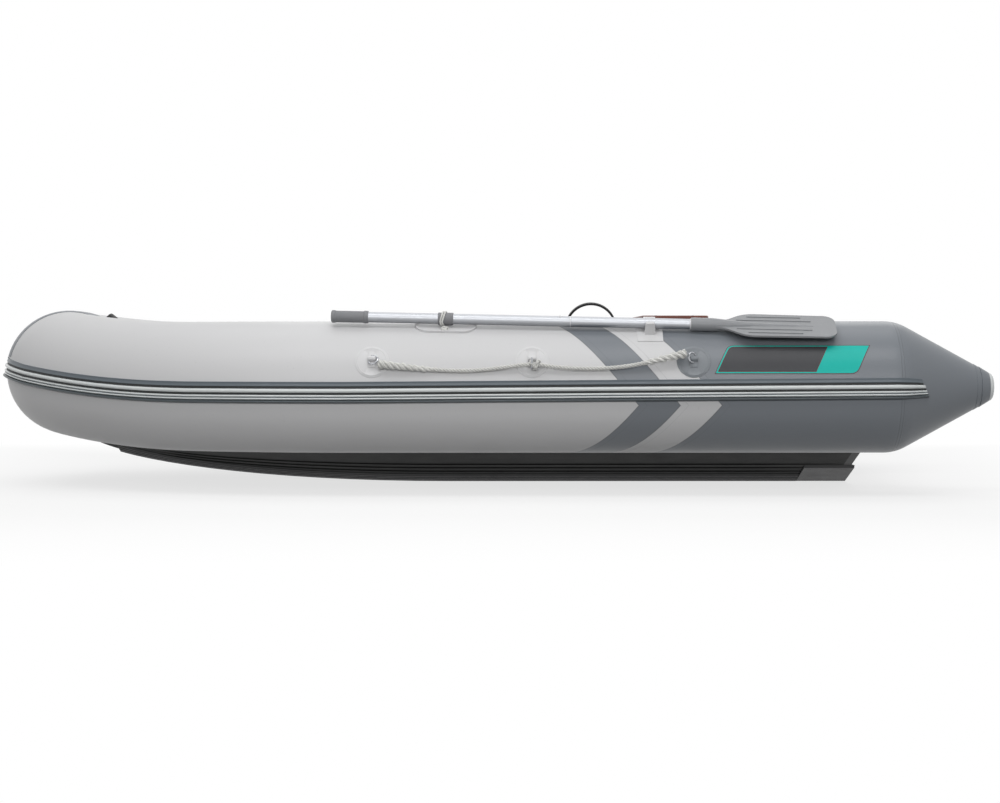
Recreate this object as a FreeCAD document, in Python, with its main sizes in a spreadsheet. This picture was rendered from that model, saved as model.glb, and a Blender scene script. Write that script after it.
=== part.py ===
import FreeCAD, Part
import math
import os

# An inflatable motor boat, 3.3 m long: two side tubes that join round the bow, a soft V bottom
# over an inflatable keel, a plywood transom, an aluminium floor, two sliding benches on rails
# and two oars stowed in their rowlocks. X runs to the bow, Y to port and Z up, in millimetres,
# and the origin lies at mid-length on the centreline, at the waterline.

Vec = FreeCAD.Vector
Place = FreeCAD.Placement
Turn = FreeCAD.Rotation
X_AXIS = Vec(1, 0, 0)
Y_AXIS = Vec(0, 1, 0)
Z_AXIS = Vec(0, 0, 1)

SIZES = {
    # Tubes
    "tube_radius": 210,
    "tube_y": 605,
    "tube_z": 236,
    "bow_start_x": 397,
    "bow_side_radius": 1290,
    "bow_nose_radius": 260,
    "bow_lift": 41,
    "bow_lift_start_x": 907,
    "cone_start_x": -1300,
    "cone_shoulder": 36,
    "cone_slope": 28.6,
    "cone_end_x": -1604,
    "cap_end_x": -1650,
    "cap_lip": 1.5,
    "cap_crown_radius": 26,
    # Rub rail, measured round the tube
    "seat_gap": 0.3,
    "rail_height": 68,
    "rail_drop": 13,
    "rail_rise": 34,
    "rail_rise_start": 20,
    "rail_flange": 3.5,
    "rail_groove": 1.6,
    "rail_bead_upper": 8,
    "rail_bead_lower": 9.5,
    "rail_lip": 14,
    "rail_end_x": -1402,
    "rail_seat": 0.5,
    # Nose band
    "band_half_width": 100,
    "band_thickness": 1.8,
    "band_seat": 0.4,
    "band_inner_angle": 150,
    # Soft bottom
    "keel_z": -100,
    "keel_rise_start_x": 100,
    "keel_nose_x": 1385,
    "keel_nose_z": 75,
    "bottom_front_x": 1368,
    "bottom_edge_inset": 40,
    "bottom_edge_drop": 162,
    "guard_half_width": 72,
    "guard_thickness": 4,
    "guard_rib_height": 3,
    "guard_front_x": 1255,
    "guard_end_x": -1113,
    "keel_cap_half_width": 185,
    "keel_cap_thickness": 7,
    "keel_cap_top_z": -40,
    "keel_cap_wall": 12,
    "bottom_seat": 0.6,
    "guard_seat": 0.5,
    # Transom
    "transom_x": -1272,
    "transom_thickness": 27,
    "transom_top_z": 360,
    "transom_notch_z": 300,
    "transom_notch_half_width": 190,
    "transom_shoulder_y": 250,
    "motor_pad_half_width": 120,
    "motor_pad_outer_thickness": 8,
    "motor_pad_inner_thickness": 5,
    "motor_pad_bottom_z": 110,
    "holder_width": 26,
    "holder_thickness": 11,
    "eye_y": 300,
    "eye_z": 170,
    "eye_bore_radius": 13,
    "eye_wire_radius": 4,
    "drain_y": 170,
    "drain_z": 40,
    # Floor
    "floor_top_z": 75,
    "floor_thickness": 9,
    "floor_pitch": 572,
    "floor_web": 4,
    "joiner_lap": 16,
    "joiner_flange": 2,
    "floor_half_width": 452,
    "floor_edge_inset": 160,
    "stringer_lap": 6,
    "stringer_web": 3,
    # Benches and their rails
    "bench_width": 215.5,
    "bench_half_length": 560,
    "bench_thickness": 15,
    "bench_under_z": 450,
    "bench_corner_radius": 28,
    "bench_edge_chamfer": 3,
    "bench_aft_x": -642,
    "bench_front_x": 245,
    "rail_track_y": 500,
    "track_bead_radius": 5,
    "track_neck": 4,
    "track_base_width": 46,
    "track_base_thickness": 3,
    "track_bead_z": 437,
    "track_gap": 0.35,
    "runner_width": 30,
    "runner_height": 22,
    "runner_length": 180,
    # Oars
    "oar_pin_x": 93.5,
    "oar_pin_y": 700,
    "oar_pin_z": 453,
    "oar_toe": -0.031,
    "oar_rake": 0.0225,
    "rowlock_lean": 27,
    "shaft_radius": 16.5,
    "collar_radius": 19.5,
    "collar_length": 48,
    "grip_radius": 20,
    "grip_length": 117,
    "grip_end": 361,
    "blade_start": -816,
    "blade_length": 406,
    "blade_half_width": 75,
    "blade_thickness": 6,
    "blade_socket_radius": 21,
    "pin_radius": 6,
    "pin_gap": 0.05,
    "pin_reach": 9,
    "rowlock_length": 195,
    "rowlock_width": 84,
    "rowlock_thickness": 3,
    "rowlock_rim": 3.4,
    "clip_x": -547,
    "clip_length": 80,
    "clip_width": 132,
    "clip_thickness": 2,
    "clip_lean": 28,
    "prong_gap": 1.1,
    "prong_thickness": 14,
    "prong_width": 38,
    "prong_height": 26,
    # Lifelines
    "patch_radius": 53,
    "patch_thickness": 2.2,
    "patch_lean": 66.4,
    "rope_radius": 6.5,
    "ring_wire_radius": 3,
    "ring_radius": 15,
    "ring_hole_gap": 0.3,
    # Handles and valves
    "handle_x": -417,
    "handle_lean": 12,
    "handle_span": 185,
    "handle_height": 84,
    "handle_width": 26,
    "handle_strap": 9,
    "handle_pad_length": 86,
    "valve_radius": 31,
    "valve_x": -1130,
    "valve_lean": 38,
    "bow_valve_turn": 20,
    "grab_lean": 38,
    "grab_half_span": 48,
    "grab_gap": 30,
    "grab_strap": 6,
    "grab_width": 26,
    "grab_foot": 30,
}

LIFELINE_PATCH_XS = (320.0, -177.0, -678.0)

# The lifeline's route on the port side, from the forward ring to the aft one.
LIFELINE_POINTS = (
    (301.0, 822.5, 312.5),
    (214.0, 822.0, 302.6),
    (137.0, 816.9, 294.6),
    (60.0, 814.8, 290.4),
    (-8.0, 815.0, 292.0),
    (-77.5, 817.2, 299.5),
    (-142.5, 821.0, 308.8),
    (-190.0, 822.0, 312.0),
    (-240.0, 820.5, 302.6),
    (-325.0, 818.0, 297.0),
    (-402.6, 818.0, 297.8),
    (-485.6, 820.0, 306.0),
    (-568.6, 822.0, 325.5),
    (-657.0, 819.5, 345.5),
)

doc = FreeCAD.newDocument("inflatable_boat")
sheet = doc.addObject("Spreadsheet::Sheet", "sizes")
for row, (alias, value) in enumerate(SIZES.items(), start=1):
    sheet.set(f"A{row}", alias)
    sheet.set(f"B{row}", str(value))
    sheet.setAlias(f"B{row}", alias)
doc.recompute()

nodes = []


def size(name):
    """Return the value that the sheet holds under this alias."""
    return float(getattr(sheet, name))


def bind(item, **expressions):
    """Bind properties of an object to the sheet; a double underscore stands for a dot."""
    for name, text in expressions.items():
        item.setExpression(name.replace("__", "."), text)
    return item


def node(item, label):
    """Mark an object as a sub-part of its own and give it its Label."""
    item.Label = label
    nodes.append(item)
    return item


def primitive(kind, name, place=Place(), **expressions):
    """Add a Part primitive whose sizes are bound to the sheet."""
    item = doc.addObject("Part::" + kind, name)
    item.Placement = place
    return bind(item, **expressions)


def shaped(name, shape):
    """Add a Part::Feature that holds a shape made with Part's own functions."""
    item = doc.addObject("Part::Feature", name)
    item.Shape = shape
    return item


def cut(name, base, tool):
    item = doc.addObject("Part::Cut", name)
    item.Base = base
    item.Tool = tool
    return item


def common(name, base, tool):
    item = doc.addObject("Part::Common", name)
    item.Base = base
    item.Tool = tool
    return item


def fuse(name, *pieces):
    item = doc.addObject("Part::MultiFuse", name)
    item.Shapes = list(pieces)
    item.Refine = True
    return item


def together(name, *pieces):
    """Several solids that don't touch, kept in one sub-part."""
    item = doc.addObject("Part::Compound", name)
    item.Links = list(pieces)
    return item


def mirrored(name, source):
    """The starboard twin of a port piece."""
    item = doc.addObject("Part::Mirroring", name)
    item.Source = source
    item.Normal = Y_AXIS
    return item


def both_sides(name, source):
    return together(name, source, mirrored(name + "_starboard_side", source))


def numbered(*steps):
    """A name made of words and numbers, for helper objects that repeat."""
    return "_".join(str(step) for step in steps)


def plane_of(body, role):
    """Find one of the body's own origin planes by its role."""
    return next(f for f in body.Origin.OriginFeatures if f.Role == role)


def sketch_on(body, role, name, offset=0.0):
    sketch = body.newObject("Sketcher::SketchObject", name)
    sketch.AttachmentSupport = (plane_of(body, role), [""])
    sketch.MapMode = "FlatFace"
    sketch.AttachmentOffset = Place(Vec(0, 0, offset), Turn())
    return sketch


def draw_polygon(sketch, points):
    """Draw a closed outline of straight lines through the points."""
    import Sketcher
    count = len(points)
    for index, (u, v) in enumerate(points):
        u2, v2 = points[(index + 1) % count]
        sketch.addGeometry(Part.LineSegment(Vec(u, v, 0), Vec(u2, v2, 0)), False)
    for index in range(count):
        sketch.addConstraint(Sketcher.Constraint("Coincident", index, 2, (index + 1) % count, 1))


def draw_rectangle(sketch, width, height):
    """Draw a centred rectangle whose two sizes are expressions."""
    import Sketcher
    draw_polygon(sketch, [(-10, -10), (10, -10), (10, 10), (-10, 10)])
    for line, kind in enumerate(("Horizontal", "Vertical", "Horizontal", "Vertical")):
        sketch.addConstraint(Sketcher.Constraint(kind, line))
    sketch.addConstraint(Sketcher.Constraint("Symmetric", 0, 1, 2, 1, -1, 1))
    wide = sketch.addConstraint(Sketcher.Constraint("DistanceX", 0, 1, 0, 2, 20))
    high = sketch.addConstraint(Sketcher.Constraint("DistanceY", 1, 1, 1, 2, 20))
    sketch.setExpression(f"Constraints[{wide}]", width)
    sketch.setExpression(f"Constraints[{high}]", height)


def pad(body, sketch, length, name="pad"):
    item = body.newObject("PartDesign::Pad", name)
    item.Profile = sketch
    item.setExpression("Length", length)
    sketch.Visibility = False
    return item


def edges_where(shape, wanted):
    """Names of the edges whose middle point passes the test."""
    names = []
    for index, edge in enumerate(shape.Edges, start=1):
        middle = edge.valueAt((edge.FirstParameter + edge.LastParameter) / 2)
        if wanted(edge, middle):
            names.append(f"Edge{index}")
    return names


def round_edges(body, feature, wanted, radius, name="rounding"):
    """Fillet the chosen edges of a body's feature by a radius from the sheet."""
    doc.recompute()
    item = body.newObject("PartDesign::Fillet", name)
    item.Base = (feature, edges_where(feature.Shape, wanted))
    item.setExpression("Radius", radius)
    return item


def chamfer_edges(body, feature, wanted, reach, name):
    """Chamfer the chosen edges of a body's feature by a size from the sheet."""
    doc.recompute()
    item = body.newObject("PartDesign::Chamfer", name)
    item.Base = (feature, edges_where(feature.Shape, wanted))
    item.setExpression("Size", reach)
    return item


def upright(edge, _middle):
    """True for a straight edge that runs along the body's own Z."""
    return edge.Curve.TypeId == "Part::GeomLine" and abs(edge.tangentAt(edge.FirstParameter).z) > 0.99


# Lines of the hull

TUBE_R = size("tube_radius")
SIDE_TURN = math.acos((size("bow_side_radius") - size("tube_y"))
                      / (size("bow_side_radius") - size("bow_nose_radius")))
NOSE_CENTRE_X = (size("bow_start_x")
                 + (size("bow_side_radius") - size("bow_nose_radius")) * math.sin(SIDE_TURN))
NOSE_X = NOSE_CENTRE_X + size("bow_nose_radius")
BAND_STEPS = 6


def bow_arc(port_turn):
    """Centre and radius of the plan arc that holds the tube's line at this turn."""
    if port_turn <= SIDE_TURN:
        return Vec(size("bow_start_x"), size("tube_y") - size("bow_side_radius"), 0), size("bow_side_radius")
    return Vec(NOSE_CENTRE_X, 0, 0), size("bow_nose_radius")


def bow_outward(turn):
    """Level direction from the tube's line to the outside of the bow; turn runs from 0 at port to pi."""
    return Vec(math.sin(turn), math.cos(turn), 0)


def tube_height(x):
    """Height of the tube's centre line, which lifts towards the nose."""
    start = size("bow_lift_start_x")
    return size("tube_z") + size("bow_lift") * max(0.0, (x - start) / (NOSE_X - start)) ** 2


def bow_point(turn):
    """Point of the tube's centre line round the bow."""
    port_turn = min(turn, math.pi - turn)
    centre, radius = bow_arc(port_turn)
    x = centre.x + radius * math.sin(port_turn)
    y = centre.y + radius * math.cos(port_turn)
    return Vec(x, y if turn <= math.pi / 2 else -y, tube_height(x))


def bow_turns(side_steps=12, nose_steps=4):
    """Turns from port to starboard at even distances along the tube's line."""
    side = [SIDE_TURN * step / side_steps for step in range(side_steps)]
    arc = math.pi - 2 * SIDE_TURN
    nose = [SIDE_TURN + arc * step / nose_steps for step in range(nose_steps + 1)]
    return side + nose + [math.pi - turn for turn in reversed(side)]


CONE_SLOPE = math.radians(size("cone_slope"))
SHOULDER_X = size("cone_start_x") - size("cone_shoulder")
SHOULDER_R = size("cone_shoulder") / math.tan(CONE_SLOPE / 2)


def stern_radius(x):
    """Radius of the tube's stern cone at x, with its rounded shoulder."""
    if x >= size("cone_start_x"):
        return TUBE_R
    arc_end = SHOULDER_X - size("cone_shoulder") * math.cos(CONE_SLOPE)
    if x >= arc_end:
        run = size("cone_start_x") - x
        return TUBE_R - SHOULDER_R + math.sqrt(SHOULDER_R ** 2 - run ** 2)
    return TUBE_R - (SHOULDER_X - x) * math.tan(CONE_SLOPE)


def keel_height(x):
    """Height of the keel's lower edge: level, then a curve up to the nose."""
    start = size("keel_rise_start_x")
    rise = size("keel_nose_z") - size("keel_z")
    along = max(0.0, (x - start) / (size("keel_nose_x") - start))
    return size("keel_nose_z") - rise * (1 - min(1.0, along) ** 2.05) ** (1 / 1.8)


def bottom_edge(x):
    """Y and Z where the bottom's sheet ends, inside the tube that it is bonded to."""
    inset = size("bottom_edge_inset")
    start = size("bow_start_x")
    if x <= start:
        y = size("tube_y") - inset
    else:
        side_reach = size("bow_side_radius") - inset
        side_end = start + side_reach * math.sin(SIDE_TURN)
        if x <= side_end:
            y = size("tube_y") - size("bow_side_radius") + math.sqrt(side_reach ** 2 - (x - start) ** 2)
        else:
            reach = size("bow_nose_radius") - inset
            y = math.sqrt(max(1.0, reach ** 2 - (x - NOSE_CENTRE_X) ** 2))
    return y, tube_height(x) - size("bottom_edge_drop")


# Places on the port tube

def on_tube(x, lean):
    """Placement on the port tube's axis whose Z points out of the tube, lean degrees outboard."""
    return Place(Vec(x, size("tube_y"), size("tube_z")), Turn(X_AXIS, -lean))


def tube_sleeve(name, inner, outer, x_from, x_to):
    """A thin pipe round the port tube, from which patches are cut."""
    place = Place(Vec(x_from, size("tube_y"), size("tube_z")), Turn(Y_AXIS, 90))
    length = str(x_to - x_from)
    outside = primitive("Cylinder", name + "_outside", place, Radius=outer, Height=length)
    inside = primitive("Cylinder", name + "_inside", place, Radius=inner, Height=length)
    return cut(name + "_sleeve", outside, inside)


def patch(name, stamp, x, half_length, thickness, lift="0"):
    """The part of a stamp that lies on the tube, as a sheet of this thickness."""
    inner = f"sizes.tube_radius + sizes.seat_gap + {lift}"
    sleeve = tube_sleeve(name, inner, f"{inner} + {thickness}", x - half_length, x + half_length)
    return common(name, sleeve, stamp)


def stadium(name, place, length, width, height):
    """A prism with half-round ends along X, standing on the placement's XY plane."""
    middle = primitive("Box", name + "_middle", place.multiply(Place(
        Vec(-(size_of(length) - size_of(width)) / 2, -size_of(width) / 2, 0), Turn())),
        Length=f"{length} - {width}", Width=width, Height=height)
    ends = []
    for side in (-1, 1):
        shift = Place(Vec(side * (size_of(length) - size_of(width)) / 2, 0, 0), Turn())
        ends.append(primitive("Cylinder", numbered(name, "end", side + 1), place.multiply(shift),
                              Radius=f"{width} / 2", Height=height))
    return fuse(name, middle, *ends)


def size_of(expression):
    """Value of an expression of the form sizes.alias."""
    return size(expression.split(".")[1])


# Tubes

def build_tubes():
    run = "sizes.bow_start_x - sizes.cone_start_x"
    place = Place(Vec(size("cone_start_x"), size("tube_y"), size("tube_z")), Turn(Y_AXIS, 90))
    port = node(primitive("Cylinder", "tube_port", place, Radius="sizes.tube_radius", Height=run), "tube_port")
    starboard = node(mirrored("tube_starboard", port), "tube_starboard")

    rings = []
    for index, turn in enumerate(bow_turns(20, 16)):
        ring = doc.addObject("Part::Circle", numbered("bow_ring", index))
        outward = bow_outward(turn)
        ring.Placement = Place(bow_point(turn), Turn(outward, Z_AXIS, outward.cross(Z_AXIS), "XYZ"))
        rings.append(bind(ring, Radius="sizes.tube_radius"))
    bow = doc.addObject("Part::Loft", "tube_bow")
    bow.Sections = rings
    bow.Solid = True
    bow.Ruled = True
    node(bow, "tube_bow")
    return port, starboard


def build_cones():
    """Stern cones with a rounded shoulder, and the domed rubber caps on their ends."""
    body = doc.addObject("PartDesign::Body", "cone_port")
    body.Placement = Place(Vec(0, size("tube_y"), size("tube_z")), Turn())
    sketch = sketch_on(body, "XZ_Plane", "cone_profile")
    arc_end = SHOULDER_X - size("cone_shoulder") * math.cos(CONE_SLOPE)
    arc_middle = (size("cone_start_x") + arc_end) / 2
    start, end = size("cone_start_x"), size("cone_end_x")
    sketch.addGeometry([
        Part.LineSegment(Vec(end, 0, 0), Vec(start, 0, 0)),
        Part.LineSegment(Vec(start, 0, 0), Vec(start, TUBE_R, 0)),
        Part.Arc(Vec(start, TUBE_R, 0), Vec(arc_middle, stern_radius(arc_middle), 0),
                 Vec(arc_end, stern_radius(arc_end), 0)),
        Part.LineSegment(Vec(arc_end, stern_radius(arc_end), 0), Vec(end, stern_radius(end), 0)),
        Part.LineSegment(Vec(end, stern_radius(end), 0), Vec(end, 0, 0)),
    ], False)
    spin = body.newObject("PartDesign::Revolution", "cone_turned")
    spin.Profile = sketch
    spin.ReferenceAxis = (sketch, ["H_Axis"])
    spin.Angle = 360
    node(body, "cone_port")
    node(mirrored("cone_starboard", body), "cone_starboard")

    cap = doc.addObject("PartDesign::Body", "cone_cap")
    cap.Placement = body.Placement
    outline = sketch_on(cap, "XZ_Plane", "cap_profile")
    root = stern_radius(end) + size("cap_lip")
    crown = root - (end - size("cap_end_x")) * 0.55
    draw_polygon(outline, [(end, 0), (end, root), (end - 6, root), (size("cap_end_x"), crown),
                           (size("cap_end_x"), 0)])
    dome = cap.newObject("PartDesign::Revolution", "cap_turned")
    dome.Profile = outline
    dome.ReferenceAxis = (outline, ["H_Axis"])
    dome.Angle = 360
    round_edges(cap, dome, lambda edge, middle: abs(middle.x - size("cap_end_x")) < 0.1
                and edge.Length > crown, "sizes.cap_crown_radius", "cap_crown")
    node(both_sides("cone_caps", cap), "cone_caps")


# Pieces that run round the tubes

def ring_section(centre, outward, tube_radius, outline):
    """A closed section round the tube: outline gives (lift off the tube, angle) for each corner.

    An entry of three values is the middle of an arc that ends at the entry after it.
    """
    def spot(lift, angle):
        reach = tube_radius + size("seat_gap") + lift
        return centre + outward * (reach * math.cos(angle)) + Z_AXIS * (reach * math.sin(angle))

    edges = []
    here = spot(*outline[0][:2])
    first = here
    middle = None
    for entry in list(outline[1:]) + [outline[0]]:
        place = spot(entry[0], entry[1])
        if len(entry) == 3:
            middle = place
            continue
        if middle is None:
            edges.append(Part.makeLine(here, place))
        else:
            edges.append(Part.Arc(here, middle, place).toShape())
        middle = None
        here = place
    return Part.Wire(edges)


def rail_outline(rise):
    """The rub rail's section: flange, groove, bead, groove, wide bead and lip, from the top down."""
    unit = size("rail_height") / 68 / TUBE_R

    def row(lift, height):
        return lift, rise + height * unit

    groove, seat = size("rail_groove"), size("rail_seat")
    flange, upper, lower, lip = (size("rail_" + word) for word in ("flange", "bead_upper", "bead_lower", "lip"))
    return (
        row(seat, 34), row(flange, 33), row(flange, 21.5), row(groove, 21), row(groove, 18.5),
        row(upper - 1.6, 16), row(upper, 11), row(upper - 1.6, 6.5), row(groove, 4), row(groove, 1.5),
        row(lower - 1.8, -1.5), row(lower, -7), row(lower - 3, -16),
        row(lip, -22), row(lip - 1, -26), row(2, -33), row(seat, -34), (seat, rise, "arc"),
    )


def rail_rise(turn):
    """Angle by which the rail's middle lies above the tube's middle at this turn."""
    start = math.radians(size("rail_rise_start"))
    port_turn = min(turn, math.pi - turn)
    along = max(0.0, (port_turn - start) / (math.pi / 2 - start))
    lift = size("rail_rise") * math.sin(along * math.pi / 2) ** 1.25
    return (lift - size("rail_drop")) / TUBE_R


def side_section(x, side, outline):
    """Section of a rail at x on the straight tube or its stern cone; side is 1 at port."""
    centre = Vec(x, side * size("tube_y"), size("tube_z"))
    return ring_section(centre, Vec(0, side, 0), stern_radius(x), outline)


def build_rub_rail():
    """One rubber moulding from stern to stern, which climbs the tube towards the nose."""
    end, start = size("rail_end_x"), size("cone_start_x")
    stern_xs = [end + (start - end) * step / 5 for step in range(6)]
    flat = rail_outline(rail_rise(0))
    lofts = []
    for side in (1, -1):
        lofts.append(Part.makeLoft([side_section(x, side, flat) for x in stern_xs], True, False))
        lofts.append(Part.makeLoft([side_section(x, side, flat) for x in (start, size("bow_start_x"))],
                                   True, True))
    sections = [ring_section(bow_point(turn), bow_outward(turn), TUBE_R, rail_outline(rail_rise(turn)))
                for turn in bow_turns()]
    lofts.append(Part.makeLoft(sections, True, False))
    rail = lofts[0].fuse(lofts[1:])
    node(shaped("rub_rail", rail), "rub_rail")


def nose_strip(low, high, steps):
    """A sheet round the nose between two lifts off the tube, from the rub rail over the top.

    It spans as many of the band's own steps to each side as are asked for.
    """
    step_turn = math.asin(size("band_half_width") / size("bow_nose_radius")) / BAND_STEPS
    top = rail_rise(math.pi / 2) + (size("rail_height") / 2 + 1) / TUBE_R
    last = math.radians(size("band_inner_angle"))
    middle = (top + last) / 2
    outline = ((low, top), (high, top), (high, middle, "arc"), (high, last), (low, last), (low, middle, "arc"))
    sections = []
    for step in range(-steps, steps + 1):
        turn = math.pi / 2 + step_turn * step
        sections.append(ring_section(bow_point(turn), bow_outward(turn), TUBE_R, outline))
    return Part.makeLoft(sections, True, True)


def build_nose_band():
    """A strip bonded round the nose, from the rub rail over the top to the inner side."""
    strip = nose_strip(size("band_seat"), size("band_thickness"), BAND_STEPS)
    node(shaped("nose_band", strip), "nose_band")


# Bottom

def bottom_stations(end, count):
    """Stations from the level run forward, each step a little shorter than the last."""
    start = size("keel_rise_start_x")
    return [start + (end - start) * (1 - (1 - step / count) ** 1.6) for step in range(count + 1)]


def tube_clearance(x, y, z):
    """Distance of a point on the port side from the skin of the tubes, negative inside them."""
    start = size("bow_start_x")
    if x <= start:
        aside = y - size("tube_y")
        height = size("tube_z")
    else:
        side_centre, side_radius = bow_arc(0)
        reach, radius, centre_x = math.hypot(x - start, y - side_centre.y), side_radius, start
        if math.atan2(x - start, y - side_centre.y) > SIDE_TURN:
            reach, radius, centre_x = math.hypot(x - NOSE_CENTRE_X, y), size("bow_nose_radius"), NOSE_CENTRE_X
        aside = reach - radius
        height = tube_height(centre_x + (x - centre_x) * radius / reach)
    return math.hypot(aside, z - height) - TUBE_R


def reach_tube(x, path):
    """First point of a path, given as a function of 0 to 1, that lies a seat's gap off the tubes."""
    gap = size("bottom_seat")
    clear, inside = 0.0, 1.0
    for _ in range(30):
        middle = (clear + inside) / 2
        if tube_clearance(x, *path(middle)) > gap:
            clear = middle
        else:
            inside = middle
    return path(clear)


def bottom_section(x):
    """The bottom at x: a V up to the tubes, then along their skin to the level under the floor."""
    edge_y, edge_z = bottom_edge(x)
    keel = keel_height(x)
    floor = size("floor_top_z") - size("floor_thickness") - size("joiner_flange") - size("bottom_seat")
    chine = reach_tube(x, lambda along: (edge_y * along, keel + (edge_z - keel) * along))
    top = max(floor, chine[1] + 0.6)

    def at_level(level):
        return reach_tube(x, lambda along: (edge_y * along, level))

    side = at_level((chine[1] + top) / 2)
    deck = at_level(top)

    def spot(corner, sign=1):
        return Vec(x, sign * corner[0], corner[1])

    low = Vec(x, 0, keel)
    return Part.Wire([
        Part.makeLine(low, spot(chine)),
        Part.Arc(spot(chine), spot(side), spot(deck)).toShape(),
        Part.makeLine(spot(deck), spot(deck, -1)),
        Part.Arc(spot(deck, -1), spot(side, -1), spot(chine, -1)).toShape(),
        Part.makeLine(spot(chine, -1), low),
    ])


def keel_loft(section_at, xs, stern_x):
    """A smooth loft over the stations, continued as a straight run to the stern."""
    bow = Part.makeLoft([section_at(x) for x in xs], True, False)
    last = section_at(xs[0])
    first = last.copy()
    first.translate(Vec(stern_x - xs[0], 0, 0))
    run = Part.makeLoft([first, last], True, True)
    return bow.fuse(run)


def v_slope(x):
    y, z = bottom_edge(x)
    return (z - keel_height(x)) / y


def build_bottom():
    hull_x = size("transom_x") + size("transom_thickness")
    node(shaped("bottom_hull", keel_loft(bottom_section, bottom_stations(size("bottom_front_x"), 14), hull_x)), "bottom_hull")


def guard_section(x):
    """The keel guard's section: a shallow V with lengthwise ribs under it."""
    edge_y, _ = bottom_edge(x)
    half = min(size("guard_half_width"), 0.42 * edge_y)
    slope = v_slope(x)
    keel = keel_height(x) - size("guard_seat")
    under = size("guard_thickness")
    rib = under + size("guard_rib_height")
    side = [(0, keel), (half, keel + half * slope), (half, keel + half * slope - 1)]
    for share in (0.88, 0.58, 0.28):
        for step, drop in ((0.05, under), (0.03, rib), (-0.03, rib), (-0.05, under)):
            y = half * (share + step)
            side.append((y, keel + y * slope - drop))
    corners = side + [(0, keel - rib)] + [(-y, z) for y, z in reversed(side[1:])]
    return Part.makePolygon([Vec(x, y, z) for y, z in corners + corners[:1]])


def build_keel_parts():
    xs = bottom_stations(size("guard_front_x"), 11)
    node(shaped("keel_guard", keel_loft(guard_section, xs, size("guard_end_x") + 1)), "keel_guard")

    slope = v_slope(0)
    half, thick = size("keel_cap_half_width"), size("keel_cap_thickness")
    top, keel = size("keel_cap_top_z"), size("keel_z")
    outer = [(0, keel - thick), (half, keel - thick + half * slope)]
    seat = (top - keel) / slope
    body = doc.addObject("PartDesign::Body", "keel_end_cap")
    body.Placement = Place(Vec(size("transom_x") - size("keel_cap_wall"), 0, 0), Turn())
    sketch = sketch_on(body, "YZ_Plane", "keel_cap_profile")
    port = outer[1:] + [(seat, top)]
    draw_polygon(sketch, outer[:1] + port + [(0, keel)] + [(-y, z) for y, z in reversed(port)])
    pad(body, sketch, "sizes.guard_end_x - sizes.transom_x + sizes.keel_cap_wall", "keel_cap_run")
    wall = sketch_on(body, "YZ_Plane", "keel_cap_wall_profile")
    draw_polygon(wall, outer[:1] + port + [(-y, z) for y, z in reversed(port)])
    pad(body, wall, "sizes.keel_cap_wall", "keel_cap_end")
    node(body, "keel_end_cap")


# Transom

def build_transom(port, starboard):
    body = doc.addObject("PartDesign::Body", "transom_board")
    body.Placement = Place(Vec(size("transom_x"), 0, 0), Turn())
    sketch = sketch_on(body, "YZ_Plane", "transom_profile")
    slope = v_slope(0)
    edge = size("tube_y") - 70
    top, notch = size("transom_top_z"), size("transom_notch_z")
    half = [(edge, size("keel_z") + edge * slope), (edge, top), (size("transom_shoulder_y"), top),
            (size("transom_notch_half_width"), notch)]
    draw_polygon(sketch, [(0, size("keel_z"))] + half + [(-y, z) for y, z in reversed(half)])
    board = pad(body, sketch, "sizes.transom_thickness", "transom_ply")
    round_edges(body, board, lambda edge, middle: edge.Length < size("transom_thickness") + 1
                and middle.z > notch - 1 and abs(middle.y) < size("transom_shoulder_y") + 1,
                "18", "transom_rounding")
    tubes = together("transom_tubes", port, starboard)
    node(cut("transom", body, tubes), "transom")


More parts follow.
